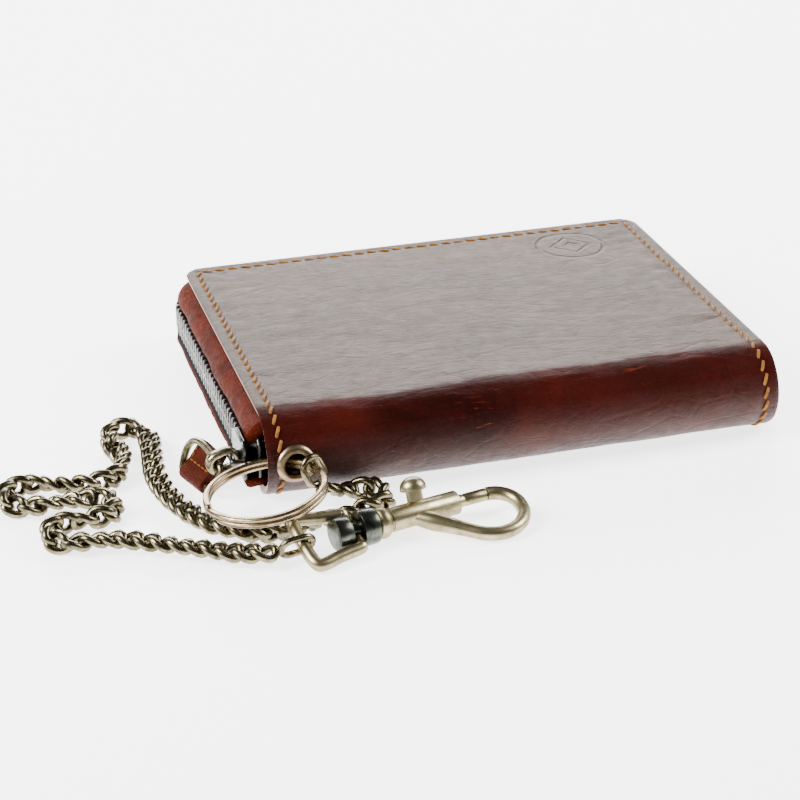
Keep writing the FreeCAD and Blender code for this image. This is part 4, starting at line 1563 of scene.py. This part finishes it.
# ---- ring and eyelet ---------------------------------------------------------------------------
class RingAndEyelet:
    """The eyelet in the spine and the split ring through it."""

    def __init__(self, finishes: Finishes) -> None:
        self.finishes = finishes

    def build(self) -> None:
        """Make the ring and the eyelet."""
        self._ring()
        self._eyelet()

    def _ring(self) -> None:
        """Two flat coils that cross over in one place, with rounded ends."""
        turns = np.linspace(0, 4 * math.pi - 0.30, 340)
        level = smooth(2 * math.pi - 0.75, 2 * math.pi + 0.15, turns) * 2 - 1
        rise = level * (RING.coil / 2 + 0.02)
        start = math.radians(205)
        path = np.stack([RING.radius * np.cos(turns + start), RING.radius * np.sin(turns + start), rise],
                        axis=1)
        ends = np.minimum(turns, turns[-1] - turns) * RING.radius
        scale = np.sqrt(np.clip(ends / 0.5, 0.2, 1))
        tilt = math.radians(RING.tilt)
        place = placement(np.array(RING.middle), np.array([math.cos(tilt), 0, math.sin(tilt)]),
                          np.array([-math.sin(tilt), 0, math.cos(tilt)]))
        section = ellipse(RING.radial / 2, RING.coil / 2, 14, 3.2)
        shape = Shape().sweep(path, np.array([0, 0, 1.0]), section, scale=scale)
        shape.points = [moved(points, place) for points in shape.points]
        obj = shape.build("split_ring_coils", self.finishes.ring)
        settle(obj, Body.RING, "ring_brass", "split_ring")

    def _eyelet(self) -> None:
        """A rolled flange outside and a flat washer inside."""
        place = placement(np.array([COVER.hole_x, -48.0, COVER.hole_z]), np.array([0, 1.0, 0]),
                          np.array([0, 0, 1.0]))
        rolled = [(3.0, 2.62), (2.4, 2.62), (0.4, 2.62), (-0.25, 2.75), (-0.62, 3.15), (-0.68, 3.7),
                  (-0.45, 4.2), (0.0, 4.5), (0.55, 4.55), (0.55, 4.1), (0.2, 3.6), (0.4, 3.0),
                  (2.4, 2.95), (3.0, 2.95)]
        grid = turned(rolled, 48)
        flange = grid[..., 0] < 1.0
        sag = (np.abs(grid[..., 2]) ** 2) / (2 * COVER.spine_radius)
        grid[..., 0] += sag * flange
        obj = Shape().grid(moved(grid, place), close_rows=True, close_columns=True).build(
            "eyelet_barrel", self.finishes.eyelet)
        settle(obj, Body.WALLET, "eyelet_brass", "eyelet")
        repaint(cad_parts["eyelet_washer"], self.finishes.eyelet)


# ---- chain --------------------------------------------------------------------------------------
class Chain:
    """Curb links along the chain's route."""

    def __init__(self, finishes: Finishes) -> None:
        self.finishes = finishes

    def line(self) -> Array:
        """The route's smooth line, in millimetres."""
        curve = bpy.data.curves.new("chain_route", "CURVE")
        curve.dimensions = "3D"
        curve.resolution_u = 16
        spline = curve.splines.new("NURBS")
        spline.points.add(len(CHAIN_ROUTE) - 1)
        for point, place in zip(spline.points, CHAIN_ROUTE):
            point.co = (*place, 1.0)
        spline.order_u = 3
        spline.use_endpoint_u = True
        holder = bpy.data.objects.new("chain_route", curve)
        mesh = bpy.data.meshes.new_from_object(holder)
        points = np.empty(len(mesh.vertices) * 3)
        mesh.vertices.foreach_get("co", points)
        bpy.data.meshes.remove(mesh)
        bpy.data.objects.remove(holder)
        bpy.data.curves.remove(curve)
        return points.reshape(-1, 3) / MM

    def link(self) -> Array:
        """One curb link along X: an oval whose two ends are rolled opposite ways."""
        a, b = (CHAIN.length - CHAIN.wire) / 2, (CHAIN.width - CHAIN.wire) / 2
        angle = np.linspace(0, 2 * math.pi, 22, endpoint=False)
        c, s = np.cos(angle), np.sin(angle)
        power = 2.5
        shrink = (np.abs(c) ** power + np.abs(s) ** power) ** (-1 / power)
        x, y = a * c * shrink, b * s * shrink
        roll = math.radians(CHAIN.twist) * x / a
        path = np.stack([x, y * np.cos(roll), y * np.sin(roll)], axis=1)
        ahead = unit(np.roll(path, -1, 0) - np.roll(path, 1, 0))
        out = unit(np.stack([c, s * np.cos(roll), s * np.sin(roll)], axis=1))
        out = unit(out - ahead * (out * ahead).sum(axis=1, keepdims=True))
        up = np.cross(ahead, out)
        section = ellipse(CHAIN.wire / 2, CHAIN.wire / 2, 8)
        return path[:, None] + out[:, None] * section[None, :, :1] + up[:, None] * section[None, :, 1:]

    def build(self) -> bpy.types.Object:
        """Make the chain's links along its route."""
        line = self.line()
        places, ways = resample(line, CHAIN.pitch, 1.0, 0.6)
        link = self.link()
        shape = Shape()
        bend = np.zeros(len(places))
        bend[1:-1] = np.linalg.norm(ways[2:] - ways[:-2], axis=1)
        dice = np.random.RandomState(4)
        for i, (place, way) in enumerate(zip(places, ways)):
            roll = math.radians(8 * math.sin(i * 0.37) + dice.uniform(-9, 9) + 62 * min(bend[i], 1.2))
            matrix = placement(place, way, np.array([-0.35, 0.45, 0.85]))
            matrix = matrix @ Matrix.Rotation(roll, 4, "X")
            ring = moved(link, matrix)
            ring[..., 2] += max(0.05 - ring[..., 2].min(), 0.0)
            shape.grid(ring, close_rows=True, close_columns=True)
        chain = shape.build("curb_chain", self.finishes.chain)
        LOG.info("chain: %d links", len(places))
        settle(chain, Body.WALLET, "chain_brass", "chain")
        self.path = line
        return chain


# ---- hook ----------------------------------------------------------------------------------------
class SnapHook:
    """The swivel, its D-shaped bail, the hook, the bolt and the thumb knob."""

    def __init__(self, finishes: Finishes) -> None:
        self.finishes = finishes
        angle = math.radians(HOOK.angle)
        self.place = placement(np.array(HOOK.middle), np.array([math.cos(angle), math.sin(angle), 0]),
                               np.array([0, 0, 1.0]))
        reach = HOOK.eye_tip + HOOK.eye
        drop = math.asin((HOOK.middle[2] - HOOK.eye_wire / 2 - 0.05) / reach)
        self.down = np.array([0, -math.cos(drop), -math.sin(drop)])

    def add(self, shape: Shape, name: str, material: bpy.types.Material, body: Body,
            slot: str, nodes: tuple[str, ...], sharp: float | None = 45) -> bpy.types.Object:
        """Turn a shape in the hook's own frame into a finished piece.

        Args:
            shape: the shape.
            name: the piece's name.
            material: its material.
            body: the body that it rides on.
            slot: not used.
            nodes: the nodes that it replaces.
            sharp: angle in degrees above which edges stay sharp.

        Returns:
            The piece.
        """
        shape.points = [moved(points, self.place) for points in shape.points]
        obj = shape.build(name, material, sharp=sharp)
        settle(obj, body, slot, *nodes)
        return obj

    def build(self) -> list[bpy.types.Object]:
        """Make every piece of the hook and return them."""
        pieces = [self._swivel(), self._bail(), self._body(), self._bolt(), self._knob()]
        repaint(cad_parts["bolt_spring"], self.finishes.spring)
        return pieces

    def _swivel(self) -> bpy.types.Object:
        """Turn the spool with its two collars and the pin into the hook."""
        g, c = HOOK.groove / 2, HOOK.collar
        s, b, k = HOOK.small + HOOK.small_swell, HOOK.big, HOOK.core
        outline = [(-g - c, 0), (-g - c, s - 0.45), (-g - c + 0.15, s - 0.12), (-g - c + 0.5, s),
                   (-g - 0.1, s), (-g + 0.25, s - 0.2), (-g + 0.35, s - 0.6), (-g + 0.4, k),
                   (g - 0.4, k), (g - 0.35, b - 0.6), (g - 0.25, b - 0.2), (g + 0.1, b),
                   (g + c - 0.2, b), (g + c + 0.15, b - 0.12), (g + c + 0.3, b - 0.45),
                   (g + c + 0.3, HOOK.pin), (HOOK.barrel_start + 0.2, HOOK.pin),
                   (HOOK.barrel_start + 0.2, 0)]
        shape = Shape().lathe(outline, sides=48)
        return self.add(shape, "swivel_spool", self.finishes.swivel, Body.SWIVEL, "swivel_metal",
                        ("hook_swivel",), 40)

    def _bail(self) -> bpy.types.Object:
        """A D of round wire whose ends sit in the swivel's groove."""
        roll = math.radians(HOOK.bail_roll)
        across = np.array([0, math.cos(roll), math.sin(roll)])
        side = HOOK.small + 0.35 + HOOK.bail_wire / 2
        half = [(0, HOOK.core + 0.2), (0, side - 0.3), (-1.0, side + 0.15), (-4.0, side + 0.5),
                (-7.2, side + 1.0), (-HOOK.bail_reach + 2.4, HOOK.bail_half + 0.2),
                (-HOOK.bail_reach + 0.4, HOOK.bail_half + 0.2), (-HOOK.bail_reach - 0.1, side - 1.2)]
        points = [np.array([u, 0, 0]) + across * v for u, v in half]
        points += [np.array([u, 0, 0]) - across * v for u, v in reversed(half)]
        path = smooth_open(np.array(points), 7)
        normal = np.cross(np.array([1.0, 0, 0]), across)
        grow = np.clip(np.minimum(np.arange(len(path)), np.arange(len(path))[::-1]) / 5, 0.72, 1)
        shape = Shape().sweep(path, normal, ellipse(HOOK.bail_wire / 2, HOOK.bail_wire / 2, 16), scale=grow)
        return self.add(shape, "d_bail", self.finishes.hook, Body.WALLET, "chain_brass",
                        ("hook_bail",), None)

    def _body(self) -> bpy.types.Object:
        """Bead, bored barrel with turned rings, and the cast eye that grows out of it."""
        b0, b1, e = HOOK.bead_start, HOOK.barrel_start, HOOK.barrel_end
        r = HOOK.barrel
        outline = [(b0, HOOK.pin + 0.06), (b0, HOOK.bead - 1.0), (b0 + 0.25, HOOK.bead - 0.45),
                   (b0 + 0.7, HOOK.bead - 0.1), (b0 + 1.2, HOOK.bead), (b1 - 1.4, HOOK.bead),
                   (b1 - 0.9, HOOK.bead - 0.1), (b1 - 0.35, HOOK.bead - 0.5), (b1, r + 0.05),
                   (b1 + 0.12, r - 0.25), (b1 + 0.35, r - 0.25), (b1 + 0.5, r), (e - 0.25, r),
                   (e, r - 0.2), (e, HOOK.bolt + 0.06)]
        shape = Shape().lathe(outline, sides=48)
        turn_u = HOOK.tip + HOOK.eye_tip - HOOK.eye
        quarter = np.radians(np.linspace(0, 90, 12))
        sweep = np.radians(np.linspace(90, -45, 26))[1:]
        path = [(HOOK.tip + HOOK.eye_tip * math.sin(k), HOOK.eye_tip * (1 - math.cos(k)))
                for k in quarter]
        path += [(turn_u + HOOK.eye * math.sin(k), HOOK.eye_tip + HOOK.eye * math.cos(k)) for k in sweep]
        u, v = path[-1]
        run = v - 0.7
        path += [(u - run * k, v - run * k) for k in np.linspace(0.08, 1, 12)]
        line = np.array([np.array([a, 0, 0]) + self.down * b for a, b in path])
        grow = np.concatenate([np.linspace(0.98, 1.0, 37), np.linspace(1.0, 1.32, 7),
                               np.linspace(1.28, 0.95, 5)])
        normal = np.cross(np.array([1.0, 0, 0]), self.down)
        start = np.array([[HOOK.tip, 0, 0]])
        line = np.concatenate([start, start + (line[1:2] - start) * 0.15, line[1:]])
        grow = np.concatenate([[0.86, 0.97], grow])[:len(line)]
        shape.sweep(line, normal, ellipse(HOOK.eye_wire / 2, HOOK.eye_wire / 2, 18), scale=grow)
        return self.add(shape, "hook_casting", self.finishes.hook, Body.HOOK, "hook_brass",
                        ("hook_body",), 50)

    def _bolt(self) -> bpy.types.Object:
        """Turn the bolt, with a groove near its tip."""
        r = HOOK.bolt
        outline = [(14.1, 0), (14.1, r - 0.2), (14.3, r), (26.3, r), (26.5, r - 0.12), (26.8, r - 0.12),
                   (27.0, r), (HOOK.tip - 0.45, r), (HOOK.tip - 0.15, r - 0.25), (HOOK.tip - 0.15, 0)]
        return self.add(Shape().lathe(outline, sides=32), "bolt_rod", self.finishes.hook, Body.BOLT,
                        "bolt_steel", ("hook_bolt",), 40)

    def _knob(self) -> bpy.types.Object:
        """A flat stem through the barrel's slot with a mushroom head."""
        tilt = Matrix.Rotation(-math.radians(HOOK.stem_tilt), 4, "X")
        base = HOOK.barrel + HOOK.stem_rise
        middle = (HOOK.stem_start + HOOK.stem_end) / 2
        half = HOOK.stem_thick / 2
        wide = (HOOK.stem_end - HOOK.stem_start) / 2
        outline = ellipse(wide, half, 20, 3.5) + np.array([middle, 0])
        low = placement(np.array([0, 0, 1.1]), np.array([1.0, 0, 0]), np.array([0, 0, 1.0]))
        shape = Shape().plate(outline, base - 0.6, tilt @ low)
        dome = [(-0.05, 0), (-0.05, HOOK.knob - 0.25), (0.10, HOOK.knob), (0.30, HOOK.knob)]
        dome += [(0.4 + 2.5 * math.sin(k), HOOK.knob * math.cos(k)) for k in np.radians(range(8, 91, 9))]
        up = placement(np.array([middle, 0, base]), np.array([0, 0, 1.0]), np.array([1.0, 0, 0]))
        shape.lathe(dome, tilt @ up, sides=36)
        return self.add(shape, "thumb_knob", self.finishes.hook, Body.BOLT, "hook_brass",
                        ("hook_knob",), 45)


# ---- inside ---------------------------------------------------------------------------------------
class Inside:
    """Linings, boards, card pockets and the coin purse."""

    def __init__(self, finishes: Finishes) -> None:
        self.finishes = finishes

    def build(self) -> None:
        """Make the pieces that show when the wallet is open."""
        for half, body in (("back", Body.WALLET), ("front", Body.FRONT)):
            repaint(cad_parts[f"{half}_board"], self.finishes.board)
            self._sheet(f"{half}_lining", body, self.finishes.lining, 3.0, 0.0, "lining")
            for number in range(1, 5):
                self._sheet(f"{half}_card_pocket_{number}", body, self.finishes.inner, 1.5, 5.0,
                            "inner_leather")
        self._purse()

    def _sheet(self, node: str, body: Body, material: bpy.types.Material, corner: float,
               notch: float, slot: str) -> None:
        """A flat sheet as big as its CAD node, with rounded corners and a finger curve on its mouth.

        Args:
            node: the node that gives its size.
            body: the body that it rides on.
            material: its material.
            corner: corner radius.
            notch: depth of the finger curve.
            slot: not used.
        """
        low, high = (np.array(p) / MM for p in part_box(node))
        x = np.linspace(-1, 1, 53)
        y = np.linspace(0, 1, 37)
        gx, gy = np.meshgrid(x, y)
        wide, deep = (high[0] - low[0]) / 2, high[1] - low[1]
        dip = notch * 0.35 * np.exp(-(gx * wide / 13.0) ** 4)
        py = low[1] + gy * (deep - dip)
        into = np.clip(py - (high[1] - corner), 0, corner)
        px = gx * (wide - corner + np.sqrt(np.maximum(corner ** 2 - into ** 2, 0))) + (high[0] + low[0]) / 2
        thick = high[2] - low[2]
        middle = (high[2] + low[2]) / 2 + 0.04 * noise(px, py, 15, len(node))
        top = np.stack([px, py, middle + thick * 0.42], axis=-1)
        bottom = np.stack([px, py, middle - thick * 0.42], axis=-1)
        obj = Shape().slab(top, bottom).build(f"{node}_sheet", material, sharp=45)
        settle(obj, body, slot, node)

    def _purse(self) -> None:
        """A puffed flat pouch with a zip across its mouth."""
        low, high = (np.array(p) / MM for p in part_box("coin_purse"))
        x = np.linspace(-1, 1, 61)
        y = np.linspace(-1, 1, 47)
        gx, gy = np.meshgrid(x, y)
        centre, half = (low + high) / 2, (high - low) / 2
        px, py = centre[0] + gx * half[0], centre[1] + gy * half[1]
        crown = (1 - np.abs(gx) ** 6) * (1 - np.abs(gy) ** 6)
        lift = half[2] * (0.45 + 0.55 * crown ** 0.5) - 0.03 + 0.06 * noise(px, py, 9, 17) * crown
        lift = np.minimum(lift, half[2] - 0.01)
        zip_line = np.exp(-((py - 29.0) / 2.0) ** 2) * (np.abs(px) < 40)
        top = np.stack([px, py, centre[2] + lift - 0.55 * zip_line], axis=-1)
        bottom = np.stack([px, py, centre[2] - lift], axis=-1)
        obj = Shape().slab(top, bottom).build("coin_purse_leather", self.finishes.inner, sharp=45)
        settle(obj, Body.WALLET, "inner_leather", "coin_purse")
        repaint(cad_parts["coin_zip_tape"], self.finishes.tape)
        repaint(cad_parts["coin_zip_teeth"], self.finishes.teeth)
        repaint(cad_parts["coin_zip_slider"], self.finishes.slider)


def main() -> None:
    """Build the whole scene."""
    logging.basicConfig(level=logging.INFO)
    Studio().build()
    finishes = Finishes()
    chain = Chain(finishes)
    links = chain.build()
    for node in ("chain_end_link_ring", "chain_end_link_hook"):
        repaint(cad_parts[node], finishes.chain)
    hook = SnapHook(finishes).build()
    Case(finishes).build()
    ZipSides(finishes).build()
    Pull(finishes).build()
    RingAndEyelet(finishes).build()
    Inside(finishes).build()


if __name__ == "__main__":
    main()
